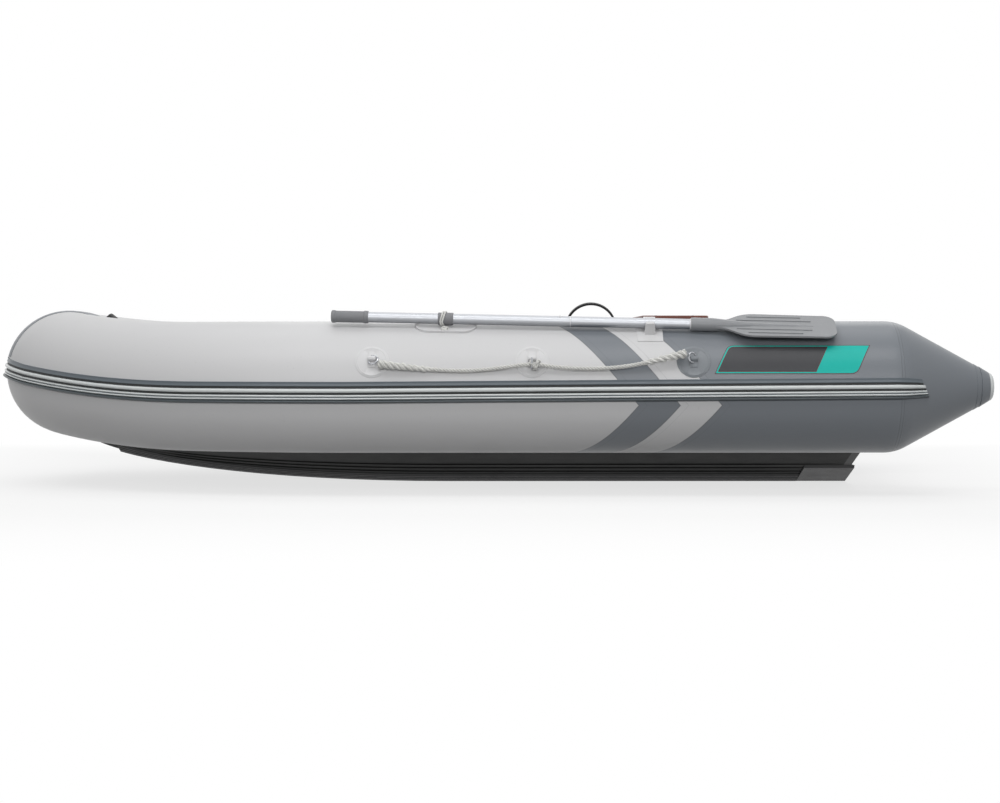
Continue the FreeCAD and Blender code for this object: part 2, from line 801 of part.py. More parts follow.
def build_transom_fittings():
    half = "2 * sizes.motor_pad_half_width"
    low, high = size("motor_pad_bottom_z"), size("transom_notch_z")
    for label, x, thickness in (
            ("motor_pad_outer", size("transom_x") - size("motor_pad_outer_thickness"),
             "sizes.motor_pad_outer_thickness"),
            ("motor_pad_inner", size("transom_x") + size("transom_thickness"),
             "sizes.motor_pad_inner_thickness")):
        body = doc.addObject("PartDesign::Body", label + "_plate")
        body.Placement = Place(Vec(x, 0, (low + high) / 2 - 3), Turn())
        sketch = sketch_on(body, "YZ_Plane", label + "_profile")
        draw_rectangle(sketch, half, "sizes.transom_notch_z - sizes.motor_pad_bottom_z - 6")
        plate = pad(body, sketch, thickness, label + "_pad")
        round_edges(body, plate, lambda edge, middle: abs(edge.tangentAt(edge.FirstParameter).x) > 0.99,
                    "14", label + "_corners")
        node(body, label)

    holders = []
    x_low = size("transom_x")
    for name, x in (("holder_aft", x_low - size("holder_width")),
                    ("holder_fore", x_low + size("transom_thickness"))):
        sleeve = tube_sleeve(name, "sizes.tube_radius", "sizes.tube_radius + sizes.holder_thickness",
                             x, x + size("holder_width"))
        sector = primitive("Box", name + "_sector",
                           Place(Vec(x - 5, size("tube_y") - 240, size("floor_top_z") + 18), Turn()),
                           Length="sizes.holder_width + 10", Width="230",
                           Height="sizes.transom_top_z - sizes.floor_top_z - 30")
        holders.append(common(name, sleeve, sector))
    pair = together("holders_port", *holders)
    node(both_sides("transom_holders", pair), "transom_holders")

    eye_at = Vec(size("transom_x"), size("eye_y"), size("eye_z"))
    base = primitive("Box", "eye_base", Place(eye_at - Vec(4, 16, 29), Turn()),
                     Length="4", Width="32", Height="58")
    bow = shaped("eye_bow", wire_ring(eye_at - Vec(12, 0, 0), Y_AXIS, X_AXIS,
                                      size("eye_bore_radius") + size("eye_wire_radius"),
                                      size("eye_wire_radius")))
    half_space = primitive("Box", "eye_cutter", Place(eye_at - Vec(12, 30, 30), Turn()),
                           Length="60", Width="60", Height="60")
    arch = cut("eye_arch", bow, half_space)
    legs = []
    for side in (-1, 1):
        reach = size("eye_bore_radius") + size("eye_wire_radius")
        legs.append(primitive("Cylinder", numbered("eye_leg", side + 1),
                              Place(eye_at + Vec(-12, 0, side * reach), Turn(Y_AXIS, 90)),
                              Radius="sizes.eye_wire_radius", Height="10"))
    eye = fuse("towing_eye", base, arch, *legs)
    node(both_sides("towing_eyes", eye), "towing_eyes")

    body = doc.addObject("PartDesign::Body", "drain_body")
    body.Placement = Place(Vec(size("transom_x"), size("drain_y"), size("drain_z")), Turn())
    profile = sketch_on(body, "XZ_Plane", "drain_profile")
    draw_polygon(profile, [(0, 0), (0, 24), (-5, 24), (-7, 21), (-7, 15), (-14, 13), (-14, 0)])
    spin = body.newObject("PartDesign::Revolution", "drain_turned")
    spin.Profile = profile
    spin.ReferenceAxis = (profile, ["H_Axis"])
    spin.Angle = 360
    node(body, "drain_valve")


# Floor

def build_floor():
    """Four aluminium panels from the transom forward, H joiners between them and U stringers beside them."""
    start = size("transom_x") + size("transom_thickness") + 2
    pitch = size("floor_pitch")
    under = size("floor_top_z") - size("floor_thickness")
    for index in range(3):
        body = doc.addObject("PartDesign::Body", numbered("panel", 4 - index))
        length = "sizes.floor_pitch - sizes.floor_web"
        middle = start + index * pitch + (pitch - size("floor_web")) / 2
        body.Placement = Place(Vec(middle, 0, under), Turn())
        sketch = sketch_on(body, "XY_Plane", numbered("panel_profile", index))
        draw_rectangle(sketch, length, "2 * sizes.floor_half_width")
        plate = pad(body, sketch, "sizes.floor_thickness", numbered("panel_plate", index))
        node(body, numbered("floor_panel", 4 - index))

    bow_start = start + 3 * pitch
    bow_end = bow_start + pitch - size("floor_web")
    centre_y = size("tube_y") - size("bow_side_radius")
    reach = size("bow_side_radius") - size("floor_edge_inset")

    def edge_y(x):
        return centre_y + math.sqrt(reach ** 2 - (x - size("bow_start_x")) ** 2)

    body = doc.addObject("PartDesign::Body", "panel_bow")
    body.Placement = Place(Vec(0, 0, under), Turn())
    sketch = sketch_on(body, "XY_Plane", "panel_bow_profile")
    middle = (bow_start + bow_end) / 2
    corners = [Vec(bow_start, -edge_y(bow_start), 0), Vec(bow_start, edge_y(bow_start), 0),
               Vec(bow_end, edge_y(bow_end), 0), Vec(bow_end, -edge_y(bow_end), 0)]
    sketch.addGeometry([
        Part.LineSegment(corners[0], corners[1]),
        Part.Arc(corners[1], Vec(middle, edge_y(middle), 0), corners[2]),
        Part.LineSegment(corners[2], corners[3]),
        Part.Arc(corners[3], Vec(middle, -edge_y(middle), 0), corners[0]),
    ], False)
    plate = pad(body, sketch, "sizes.floor_thickness", "panel_bow_plate")
    round_edges(body, plate, lambda edge, middle: upright(edge, middle) and middle.x > bow_end - 1,
                "60", "panel_bow_corners")
    node(body, "floor_panel_1")

    joiners = []
    for index in range(3):
        x = start + (index + 1) * pitch - size("floor_web")
        half = size("floor_half_width") - 8
        web = primitive("Box", numbered("joiner_web", index), Place(Vec(x, -half, under), Turn()),
                        Length="sizes.floor_web", Width="2 * sizes.floor_half_width - 16",
                        Height="sizes.floor_thickness")
        flanges = []
        for level in (under - size("joiner_flange"), size("floor_top_z")):
            flanges.append(primitive(
                "Box", numbered("joiner_flange", index, int(level)),
                Place(Vec(x - size("joiner_lap"), -half, level), Turn()),
                Length="sizes.floor_web + 2 * sizes.joiner_lap",
                Width="2 * sizes.floor_half_width - 16", Height="sizes.joiner_flange"))
        joiners.append(fuse(numbered("joiner", index), web, *flanges))
    node(together("floor_joiners", *joiners), "floor_joiners")

    run = "3 * sizes.floor_pitch - sizes.floor_web"
    lap, flange = size("stringer_lap"), size("joiner_flange")
    edge = size("floor_half_width")
    side = primitive("Box", "stringer_web", Place(Vec(start, edge, under - flange), Turn()),
                     Length=run, Width="sizes.stringer_web",
                     Height="sizes.floor_thickness + 2 * sizes.joiner_flange")
    lips = [primitive("Box", numbered("stringer_lip", int(level)),
                      Place(Vec(start, edge - lap, level), Turn()), Length=run,
                      Width="sizes.stringer_lap + sizes.stringer_web", Height="sizes.joiner_flange")
            for level in (under - flange, size("floor_top_z"))]
    node(both_sides("floor_stringers", fuse("stringer_port", side, *lips)), "floor_stringers")


# Benches

def build_tracks():
    """Rubber tracks on the tubes, a bead on a neck, in two runs with the carry handle between."""
    centre = Vec(0, size("rail_track_y"), size("track_bead_z"))
    foot = math.sqrt(TUBE_R ** 2 - (size("tube_y") - size("rail_track_y")) ** 2) + size("tube_z")
    runs = []
    for name, x_from, x_to in (("aft", -1050.0, -532.0), ("fore", -300.0, 388.0)):
        bead = primitive("Cylinder", numbered("track_bead", name), Place(Vec(x_from, centre.y, centre.z),
                         Turn(Y_AXIS, 90)), Radius="sizes.track_bead_radius", Height=str(x_to - x_from))
        neck = primitive("Box", numbered("track_neck", name),
                         Place(Vec(x_from, centre.y - size("track_neck") / 2, foot + 1), Turn()),
                         Length=str(x_to - x_from), Width="sizes.track_neck",
                         Height=str(centre.z - foot - 1))
        stamp = primitive("Box", numbered("track_stamp", name),
                          Place(Vec(x_from, centre.y - size("track_base_width") / 2, foot - 60), Turn()),
                          Length=str(x_to - x_from), Width="sizes.track_base_width", Height="120")
        base = patch(numbered("track_base", name), stamp, (x_from + x_to) / 2, (x_to - x_from) / 2,
                     "sizes.track_base_thickness")
        runs.append(fuse(numbered("track", name), bead, neck, base))
    pair = together("tracks_port", *runs)
    node(both_sides("bench_tracks", pair), "bench_tracks")


def build_bench(label, x):
    body = doc.addObject("PartDesign::Body", label + "_board")
    body.Placement = Place(Vec(x, 0, size("bench_under_z")), Turn())
    sketch = sketch_on(body, "XY_Plane", label + "_profile")
    draw_rectangle(sketch, "sizes.bench_width", "2 * sizes.bench_half_length")
    board = pad(body, sketch, "sizes.bench_thickness", label + "_ply")
    corners = round_edges(body, board, upright, "sizes.bench_corner_radius", label + "_corners")
    chamfer_edges(body, corners, lambda edge, middle: not upright(edge, middle),
                  "sizes.bench_edge_chamfer", label + "_edges")
    node(body, label)

    drop = size("bench_under_z") - size("track_bead_z")
    low = size("bench_under_z") - size("runner_height")
    block = primitive("Box", label + "_block",
                      Place(Vec(x - size("runner_length") / 2,
                                size("rail_track_y") - size("runner_width") / 2, low), Turn()),
                      Length="sizes.runner_length", Width="sizes.runner_width",
                      Height="sizes.runner_height")
    hole = primitive("Cylinder", label + "_hole",
                     Place(Vec(x - 200, size("rail_track_y"), size("track_bead_z")), Turn(Y_AXIS, 90)),
                     Radius="sizes.track_bead_radius + sizes.track_gap", Height="400")
    half = size("track_neck") / 2 + size("track_gap")
    slot = primitive("Box", label + "_slot",
                     Place(Vec(x - 200, size("rail_track_y") - half, low - 5), Turn()),
                     Length="400", Width="sizes.track_neck + 2 * sizes.track_gap",
                     Height=str(size("runner_height") - drop + 5))
    skin = primitive("Cylinder", label + "_skin",
                     Place(Vec(x - 200, size("tube_y"), size("tube_z")), Turn(Y_AXIS, 90)), Height="400",
                     Radius="sizes.tube_radius + 2 * sizes.seat_gap + sizes.track_base_thickness")
    runner = cut(label + "_runner", block, fuse(label + "_channel", hole, slot, skin))
    node(both_sides(label + "_runners", runner), label + "_runners")


# Oars

LEAN = math.radians(size("rowlock_lean"))
OAR_LINE = Vec(1, size("oar_toe"), size("oar_rake")).normalize()
PIN_LEAN = Vec(0, math.sin(LEAN), math.cos(LEAN))
PIN_LINE = (PIN_LEAN - OAR_LINE * PIN_LEAN.dot(OAR_LINE)).normalize()
OAR_PLACE = Place(Vec(size("oar_pin_x"), size("oar_pin_y"), size("oar_pin_z")),
                  Turn(OAR_LINE, PIN_LINE.cross(OAR_LINE), PIN_LINE, "XYZ"))


def oar_body(name):
    body = doc.addObject("PartDesign::Body", name)
    body.Placement = OAR_PLACE
    return body


def turned(body, name, outline):
    """Turn an outline, given as (place along the oar, radius), round the oar's line."""
    sketch = sketch_on(body, "XZ_Plane", name + "_profile")
    draw_polygon(sketch, outline)
    spin = body.newObject("PartDesign::Revolution", name)
    spin.Profile = sketch
    spin.ReferenceAxis = (sketch, ["H_Axis"])
    spin.Angle = 360
    return spin


def bore_for_pin(name, piece):
    """Drill the blind hole that takes the rowlock's pin, up from below."""
    place = OAR_PLACE.multiply(Place(Vec(0, 0, -60), Turn()))
    drill = primitive("Cylinder", name + "_drill", place, Radius="sizes.pin_radius + sizes.pin_gap",
                      Height="60 + sizes.pin_reach + 0.5")
    return cut(name, piece, drill)


def build_oar():
    """The port oar's pieces; the starboard ones are their mirror images."""
    shaft_end = size("blade_start") - 34
    grip_start = size("grip_end") - size("grip_length")

    shaft = oar_body("oar_tube")
    radius = size("shaft_radius")
    turned(shaft, "oar_tube_turned", [(shaft_end, 0), (shaft_end, radius), (size("grip_end") - 8, radius),
                                      (size("grip_end") - 8, 0)])
    bored = bore_for_pin("oar_port_shaft", shaft)

    grip = oar_body("oar_grip")
    end = size("grip_end")
    thick = size("grip_radius")
    spin = turned(grip, "oar_grip_turned", [
        (grip_start, radius), (grip_start, thick - 1), (grip_start + 4, thick), (grip_start + 12, thick),
        (grip_start + 15, thick - 1.6), (end - 16, thick - 1.6), (end - 12, thick), (end - 3, thick),
        (end, thick - 4), (end, 0), (end - 8, 0), (end - 8, radius)])

    collar = oar_body("oar_collar")
    half = size("collar_length") / 2
    rim = size("collar_radius")
    turned(collar, "oar_collar_turned", [(-half, radius), (-half, rim - 1), (-half + 2, rim),
                                         (half - 2, rim), (half, rim - 1), (half, radius)])
    bored_collar = bore_for_pin("oar_port_collar", collar)

    blade = build_blade(shaft_end)
    for part, item in (("shaft", bored), ("grip", grip), ("collar", bored_collar), ("blade", blade)):
        node(item, "oar_port_" + part)
        node(mirrored("oar_starboard_" + part, item), "oar_starboard_" + part)


def build_blade(shaft_end):
    """A moulded blade: a spoon-shaped sheet, a socket that tapers into its spine, and side ribs."""
    root = size("blade_start")
    tip = root - size("blade_length")
    half, radius = size("blade_half_width"), size("shaft_radius")
    body = oar_body("oar_blade_sheet")
    sketch = sketch_on(body, "XY_Plane", "blade_profile", -size("blade_thickness") / 2)
    neck = 19
    points = [Vec(root, neck, 0), Vec(root - 60, neck + 10, 0), Vec(root - 150, half, 0),
              Vec(tip + 46, half - 3, 0), Vec(tip, half - 44, 0)]
    flow = Part.BSplineCurve()
    flow.interpolate(Points=points[:3], InitialTangent=Vec(-1, 0, 0), FinalTangent=Vec(-1, 0.06, 0),
                     Scale=True)

    def flipped(point):
        return Vec(point.x, -point.y, 0)

    lower = Part.BSplineCurve()
    lower.interpolate(Points=[flipped(point) for point in points[2::-1]],
                      InitialTangent=Vec(1, 0.06, 0), FinalTangent=Vec(1, 0, 0), Scale=True)
    corner = Vec(tip + 11, half - 14, 0)
    sketch.addGeometry([
        flow,
        Part.LineSegment(points[2], points[3]),
        Part.Arc(points[3], corner, points[4]),
        Part.LineSegment(points[4], flipped(points[4])),
        Part.Arc(flipped(points[4]), flipped(corner), flipped(points[3])),
        Part.LineSegment(flipped(points[3]), flipped(points[2])),
        lower,
        Part.LineSegment(flipped(points[0]), points[0]),
    ], False)
    pad(body, sketch, "sizes.blade_thickness", "blade_sheet")

    socket = oar_body("oar_blade_socket")
    rim = size("blade_socket_radius")
    turned(socket, "blade_socket_turned", [
        (root + 46, radius), (root + 46, rim - 1), (root + 44, rim), (root - 20, rim),
        (root - 150, 9), (tip + 70, 4.5), (tip + 66, 0), (shaft_end, 0), (shaft_end, radius)])

    ribs = []
    for index, (y, start, end) in enumerate(((30, -95, -330), (54, -130, -300))):
        for side in (-1, 1):
            at = OAR_PLACE.multiply(Place(Vec(root + end, side * y - 2, -size("blade_thickness") / 2 - 2),
                                          Turn()))
            ribs.append(primitive("Box", numbered("blade_rib", index, side + 1), at, Length=str(start - end),
                                  Width="4", Height="sizes.blade_thickness + 4"))
    sheet_cut = cut("blade_sheet_bored", body, oar_core())
    return fuse("oar_port_blade", sheet_cut, socket, *ribs)


def oar_core():
    """The room that the shaft takes inside the blade."""
    place = OAR_PLACE.multiply(Place(Vec(size("blade_start") - 34, 0, 0), Turn(Y_AXIS, 90)))
    return primitive("Cylinder", "blade_core", place, Radius="sizes.shaft_radius", Height="200")


def rowlock_seat():
    """Placement on the tube's axis whose Z is the pin's line through the oar."""
    at = OAR_PLACE.Base
    down = (at.y - size("tube_y")) * PIN_LINE.y + (at.z - size("tube_z")) * PIN_LINE.z
    return Place(at - PIN_LINE * down, OAR_PLACE.Rotation)


def build_rowlocks():
    seat = rowlock_seat()
    reach = (OAR_PLACE.Base - seat.Base).Length
    length, width = "sizes.rowlock_length", "sizes.rowlock_width"
    plate_stamp = stadium("rowlock_stamp", seat, length, width, "400")
    plate = patch("rowlock_plate", plate_stamp, size("oar_pin_x"), size("rowlock_length"),
                  "sizes.rowlock_thickness")
    rim_stamp = stadium("rowlock_rim_outer", seat, length, width, "400")
    hollow = size("rowlock_width") - 14
    inner = primitive("Box", "rowlock_rim_inner", seat.multiply(Place(
        Vec(-(size("rowlock_length") - size("rowlock_width")) / 2, -hollow / 2, 0), Turn())),
        Length=f"{length} - {width}", Width="sizes.rowlock_width - 14", Height="400")
    ends = [primitive("Cylinder", numbered("rowlock_rim_end", side + 1), seat.multiply(Place(
        Vec(side * (size("rowlock_length") - size("rowlock_width")) / 2, 0, 0), Turn())),
        Radius="sizes.rowlock_width / 2 - 7", Height="400") for side in (-1, 1)]
    ring = cut("rowlock_rim_stamp", rim_stamp, fuse("rowlock_rim_hollow", inner, *ends))
    rim = patch("rowlock_rim", ring, size("oar_pin_x"), size("rowlock_length"),
                "sizes.rowlock_thickness + sizes.rowlock_rim")
    boss_height = reach - size("collar_radius") - size("seat_gap")
    boss_root = TUBE_R + size("seat_gap") + 1.5
    boss = primitive("Cylinder", "rowlock_boss", seat.multiply(Place(Vec(0, 0, boss_root), Turn())),
                     Radius="20", Height=str(boss_height - boss_root))
    bore = primitive("Cylinder", "rowlock_bore", seat, Radius="sizes.pin_radius", Height="400")
    pads = cut("rowlock_port", fuse("rowlock_solid", plate, rim, boss), bore)
    node(both_sides("rowlock_pads", pads), "rowlock_pads")
    pin_root = TUBE_R + size("seat_gap") + 0.2
    pin = primitive("Cylinder", "rowlock_pin", seat.multiply(Place(Vec(0, 0, pin_root), Turn())),
                    Radius="sizes.pin_radius", Height=str(reach + size("pin_reach") - pin_root))
    node(both_sides("rowlock_pins", pin), "rowlock_pins")


def oar_point(x):
    """Point of the port oar's line at this X."""
    base = OAR_PLACE.Base
    return base + OAR_LINE * ((x - base.x) / OAR_LINE.x)


def tube_core(name, x, radius):
    """A short length of the port tube's axis line, thickened to a radius, round which a foot is cut."""
    place = Place(Vec(x - size("clip_length"), size("tube_y"), size("tube_z")), Turn(Y_AXIS, 90))
    return primitive("Cylinder", name, place, Radius=radius, Height="2 * sizes.clip_length")


def build_clips():
    """The stowage clip: a patch and an inner horn in one moulding, and an outer prong of soft rubber."""
    x = size("clip_x")
    lean = size("clip_lean")
    seat = on_tube(x, lean)
    stamp = primitive("Box", "clip_stamp", seat.multiply(Place(
        Vec(-size("clip_length") / 2, -size("clip_width") / 2, 0), Turn())),
        Length="sizes.clip_length", Width="sizes.clip_width", Height="400")
    plate = patch("clip_plate", stamp, x, size("clip_length"), "sizes.clip_thickness")
    oar = oar_point(x)
    angle = math.degrees(math.atan2(oar.y - size("tube_y"), oar.z - size("tube_z")))
    reach = math.hypot(oar.y - size("tube_y"), oar.z - size("tube_z"))
    saddle = on_tube(x, angle)
    side_gap = size("shaft_radius") + 5.2
    root = TUBE_R - size("prong_thickness")
    block = primitive("Box", "clip_horn_block", saddle.multiply(Place(
        Vec(-size("prong_width") / 2, -side_gap - size("prong_thickness"), root), Turn())),
        Length="sizes.prong_width", Width="sizes.prong_thickness", Height=str(reach - root + 4))
    horn = cut("clip_horn", block, tube_core("clip_skin", x, "sizes.tube_radius + sizes.seat_gap"))
    holder = fuse("clip_port", plate, horn)
    node(both_sides("oar_clip_pads", holder), "oar_clip_pads")

    body = doc.addObject("PartDesign::Body", "clip_prong")
    gap = size("shaft_radius") + size("prong_gap")
    body.Placement = saddle.multiply(Place(Vec(0, gap, root), Turn()))
    sketch = sketch_on(body, "XZ_Plane", "prong_profile")
    wide, high = size("prong_width") / 2, reach - root + size("prong_height") - 10
    draw_polygon(sketch, [(-wide, 0), (wide, 0), (wide - 5, high), (-wide + 5, high)])
    block = pad(body, sketch, "sizes.prong_thickness", "prong_block")
    block.Reversed = True
    round_edges(body, block, lambda edge, middle: middle.z > high - 1 and abs(middle.x) > wide - 6, "6",
                "prong_crown")
    top = tube_core("prong_seat", x, "sizes.tube_radius + 2 * sizes.seat_gap + sizes.clip_thickness")
    prong = cut("clip_prong_seated", body, top)
    node(prong, "oar_clip_prong_port")
    node(mirrored("oar_clip_prong_starboard", prong), "oar_clip_prong_starboard")


# Lifelines

def cord_wire(points):
    """A route of straight runs joined by tangent arcs, and the arcs' radii."""
    spots = [Vec(*point) for point in points]
    edges, radii = [], []
    here = spots[0]
    for before, corner, after in zip(spots, spots[1:], spots[2:]):
        towards = (before - corner).normalize()
        away = (after - corner).normalize()
        half_turn = (math.pi - towards.getAngle(away)) / 2
        shorter = min((before - corner).Length, (after - corner).Length)
        radius = 0.45 * shorter / math.tan(half_turn)
        enter = corner + towards * (0.45 * shorter)
        leave = corner + away * (0.45 * shorter)
        inward = (towards + away).normalize()
        centre = corner + inward * (radius / math.cos(half_turn))
        edges.append(Part.makeLine(here, enter))
        edges.append(Part.Arc(enter, centre - inward * radius, leave).toShape())
        here = leave
        radii.append(radius)
    edges.append(Part.makeLine(here, spots[-1]))
    return Part.Wire(edges), radii


def build_lifelines():
    wire, radii = cord_wire(LIFELINE_POINTS)
    print("lifeline radii:", [round(radius) for radius in radii], "length:", round(wire.Length))
    start = Vec(*LIFELINE_POINTS[0])
    heading = (Vec(*LIFELINE_POINTS[1]) - start).normalize()
    across = heading.cross(Z_AXIS).normalize()
    section = round_outline(start, across, heading.cross(across), size("rope_radius"), 8)
    rope = shaped("lifeline_port", wire.makePipeShell([section], True, False))
    node(rope, "lifeline_port")
    node(mirrored("lifeline_starboard", rope), "lifeline_starboard")

    patches, rings = [], []
    for index, x in enumerate(LIFELINE_PATCH_XS):
        seat = on_tube(x, size("patch_lean"))
        stamp = primitive("Cylinder", numbered("patch_stamp", index), seat, Radius="sizes.patch_radius",
                          Height="400")
        disc = patch(numbered("patch_disc", index), stamp, x, size("patch_radius") + 5,
                     "sizes.patch_thickness")
        top = TUBE_R + size("seat_gap") + size("patch_thickness")
        loop = primitive("Box", numbered("patch_loop", index), seat.multiply(Place(
            Vec(-12, -14, top - 1.5), Turn())), Length="24", Width="18", Height="16.5")
        middle = seat.multVec(Vec(0, -5, top + 8))
        ring, hole = build_ring(index, middle, seat.Rotation.multVec(Z_AXIS), wire)
        patches.append(cut(numbered("patch", index), fuse(numbered("patch_solid", index), disc, loop), hole))
        rings.append(ring)
    port_patches = together("patches_port", *patches)
    node(both_sides("lifeline_patches", port_patches), "lifeline_patches")
    port_rings = together("rings_port", *rings)
    node(both_sides("lifeline_rings", port_rings), "lifeline_rings")


def round_outline(centre, first, second, radius, sides):
    """A regular outline round a centre, in the plane of two unit directions."""
    corners = [centre + first * (radius * math.cos(math.tau * step / sides))
               + second * (radius * math.sin(math.tau * step / sides)) for step in range(sides)]
    return Part.makePolygon(corners + corners[:1])


def wire_ring(centre, axis, first, radius, wire_radius, lengths=14):
    """A ring bent from wire, as straight lengths of eight-sided wire round its axis."""
    second = axis.cross(first)
    sections = []
    for step in range(lengths):
        angle = math.tau * step / lengths
        outward = first * math.cos(angle) + second * math.sin(angle)
        sections.append(round_outline(centre + outward * radius, outward, axis, wire_radius, 8))
    return Part.makeLoft(sections, True, True, True)


def build_ring(index, loop, skin_normal, wire_line):
    """A steel ring in the webbing loop, and the hole that it leaves there.

    The rope runs through the middle ring and ends at the outer two, each a small gap from the wire.
    """
    route = wire_line.discretize(Distance=2.0)
    gap, radius, wire = size("seat_gap"), size("ring_radius"), size("ring_wire_radius")
    if index == 1:
        near = min(range(1, len(route) - 1), key=lambda place: abs(route[place].x - loop.x))
        along = (route[near + 1] - route[near - 1]).normalize()
        towards = loop - route[near]
        towards = (towards - along * towards.dot(along)).normalize()
        centre = route[near] + towards * (radius - wire - size("rope_radius") - gap)
        axis = along
    else:
        rope, inner = (route[0], route[1]) if index == 0 else (route[-1], route[-2])
        heading = (rope - inner).normalize()
        towards = (loop - rope).normalize()
        face = size("rope_radius") * heading.cross(towards).Length
        centre = rope + towards * (face + gap + wire + radius)
        axis = towards.cross(towards.cross(skin_normal)).normalize()
    ring = shaped(numbered("ring", index), wire_ring(centre, axis, towards, radius, wire))
    hole = shaped(numbered("ring_hole", index),
                  wire_ring(centre, axis, towards, radius, wire + size("ring_hole_gap")))
    return ring, hole


# Handles and valves

def build_handles():
    """Webbing handles on the tubes: the starboard one stands, the port one lies inboard."""
    half = size("handle_span") / 2
    seat = on_tube(size("handle_x"), -size("handle_lean"))
    root = TUBE_R + size("seat_gap") + 1.2
    pads = []
    for side in (-1, 1):
        stamp = stadium(numbered("handle_stamp", side + 1), seat.multiply(Place(
            Vec(side * half, 0, 0), Turn())), "sizes.handle_pad_length", "sizes.handle_width", "400")
        pads.append(patch(numbered("handle_pad", side + 1), stamp, size("handle_x") + side * half,
                          size("handle_pad_length"), "3"))
    strap_half = size("handle_strap") / 2
    arch = Part.Arc(Vec(-half + strap_half, 0, root), Vec(0, 0, root + size("handle_height") - strap_half),
                    Vec(half - strap_half, 0, root)).toShape()
    width = size("handle_width") - 2
    start = arch.valueAt(arch.FirstParameter)
    along = arch.tangentAt(arch.FirstParameter)
    across = along.cross(Y_AXIS)
    corners = [start + across * (strap_half * u) + Y_AXIS * (width / 2 * v)
               for u, v in ((-1, -1), (1, -1), (1, 1), (-1, 1))]
    profile = Part.makePolygon(corners + corners[:1])
    strap_shape = Part.Wire([arch]).makePipeShell([profile], True, True)
    strap = shaped("handle_strap_up", strap_shape)
    strap.Placement = seat
    standing = fuse("handle_standing", strap, *pads)
    starboard = mirrored("handle_starboard", standing)

    outer = primitive("Cylinder", "handle_flat_outer", seat, Radius="sizes.handle_span / 2",
                      Height="400")
    inner = primitive("Cylinder", "handle_flat_inner", seat,
                      Radius="sizes.handle_span / 2 - sizes.handle_strap", Height="400")
    cutter = primitive("Box", "handle_flat_cutter", seat.multiply(Place(Vec(-300, 0, -10), Turn())),
                       Length="600", Width="300", Height="500")
    ring = cut("handle_flat_half", cut("handle_flat_ring", outer, inner), cutter)
    flat = patch("handle_flat", ring, size("handle_x"), half + 20, "sizes.handle_strap", "0.5")
    lying = fuse("handle_port", flat, *pads)
    node(together("carry_handles", lying, starboard), "carry_handles")


def build_bow_handle():
    """A grab strap on the inner side of the nose, on two feet that stand on the nose band."""
    lean = math.radians(size("grab_lean"))
    outward = Vec(-math.sin(lean), 0, math.cos(lean))
    place = Place(bow_point(math.pi / 2), Turn(Y_AXIS, outward.cross(Y_AXIS), outward, "XYZ"))
    half, width, foot = size("grab_half_span"), size("grab_width"), size("grab_foot")
    root = TUBE_R - size("grab_strap")
    under = TUBE_R + size("band_thickness") + 2 * size("seat_gap") + size("grab_gap")
    skin = shaped("grab_skin", nose_strip(-4 * size("grab_strap"), size("band_thickness") + size("seat_gap"),
                                          2 * BAND_STEPS))
    feet = [primitive("Box", numbered("grab_foot", side + 1), place.multiply(Place(
        Vec(side * half - foot / 2, -width / 2, root), Turn())), Length="sizes.grab_foot",
        Width="sizes.grab_width", Height=str(under - root)) for side in (-1, 1)]
    strap = primitive("Box", "grab_strap", place.multiply(Place(
        Vec(-half - foot / 2, -width / 2, under), Turn())),
        Length="2 * sizes.grab_half_span + sizes.grab_foot", Width="sizes.grab_width",
        Height="sizes.grab_strap")
    node(cut("grab_handle", fuse("grab_solid", strap, *feet), skin), "bow_handle")
    middle = place.multVec(Vec(0, 0, under - size("grab_gap") / 2))
    print("bow handle gap, middle:", [round(value, 1) for value in middle])


def build_valves():
    """Air valves: a flange, a body and a screw cap, one on each side tube and one in the bow."""
    rim = size("valve_radius")
    outline = [(0, 0), (0, rim), (2.5, rim), (3.5, rim - 4), (3.5, rim - 9), (9, rim - 10),
               (11, rim - 13), (11, 0)]
    bow_turn = math.radians(size("bow_valve_turn"))
    inward = bow_outward(bow_turn) * -1
    lean = math.radians(size("valve_lean"))
    line = inward * math.sin(lean) + Z_AXIS * math.cos(lean)
    top = TUBE_R + size("seat_gap") + 0.3
    side_seat = on_tube(size("valve_x"), -size("valve_lean"))
    bow_seat = Place(bow_point(bow_turn), Turn(Z_AXIS, line))
    valves = []
    for name, seat in (("side", side_seat), ("bow", bow_seat)):
        body = doc.addObject("PartDesign::Body", numbered("valve", name))
        body.Placement = seat.multiply(Place(Vec(0, 0, top), Turn(Y_AXIS, -90)))
        sketch = sketch_on(body, "XZ_Plane", numbered("valve_profile", name))
        draw_polygon(sketch, outline)
        spin = body.newObject("PartDesign::Revolution", numbered("valve_turned", name))
        spin.Profile = sketch
        spin.ReferenceAxis = (sketch, ["H_Axis"])
        spin.Angle = 360
        valves.append(body)
    node(together("air_valves", valves[0], mirrored("valve_starboard", valves[0]), valves[1]), "air_valves")


def export(folder):
    """Write one STEP file for each sub-part and name any object that failed."""
    os.makedirs(folder, exist_ok=True)
    for item in doc.Objects:
        if "Invalid" in item.State or "Error" in item.State:
            raise RuntimeError(f"{item.Label} failed: {item.State}")
    for item in nodes:
        shape = item.Shape
        if shape.isNull() or not shape.isValid() or not shape.Solids:
            raise RuntimeError(f"{item.Label} has no valid solid")
        shape.exportStep(os.path.join(folder, item.Label + ".step"))
        print(item.Label, len(shape.Solids), round(shape.Volume / 1000), "cm3")


def main():
    port, starboard = build_tubes()
    build_cones()
    build_rub_rail()
    build_nose_band()
    build_bottom()
    build_keel_parts()
    build_transom(port, starboard)
    build_transom_fittings()
    build_floor()
    build_tracks()
    build_bench("bench_front", size("bench_front_x"))
    build_bench("bench_aft", size("bench_aft_x"))
    build_oar()
    build_rowlocks()
    build_clips()
    build_lifelines()
    build_handles()
    build_bow_handle()
    build_valves()
    doc.recompute()
    export("parts")


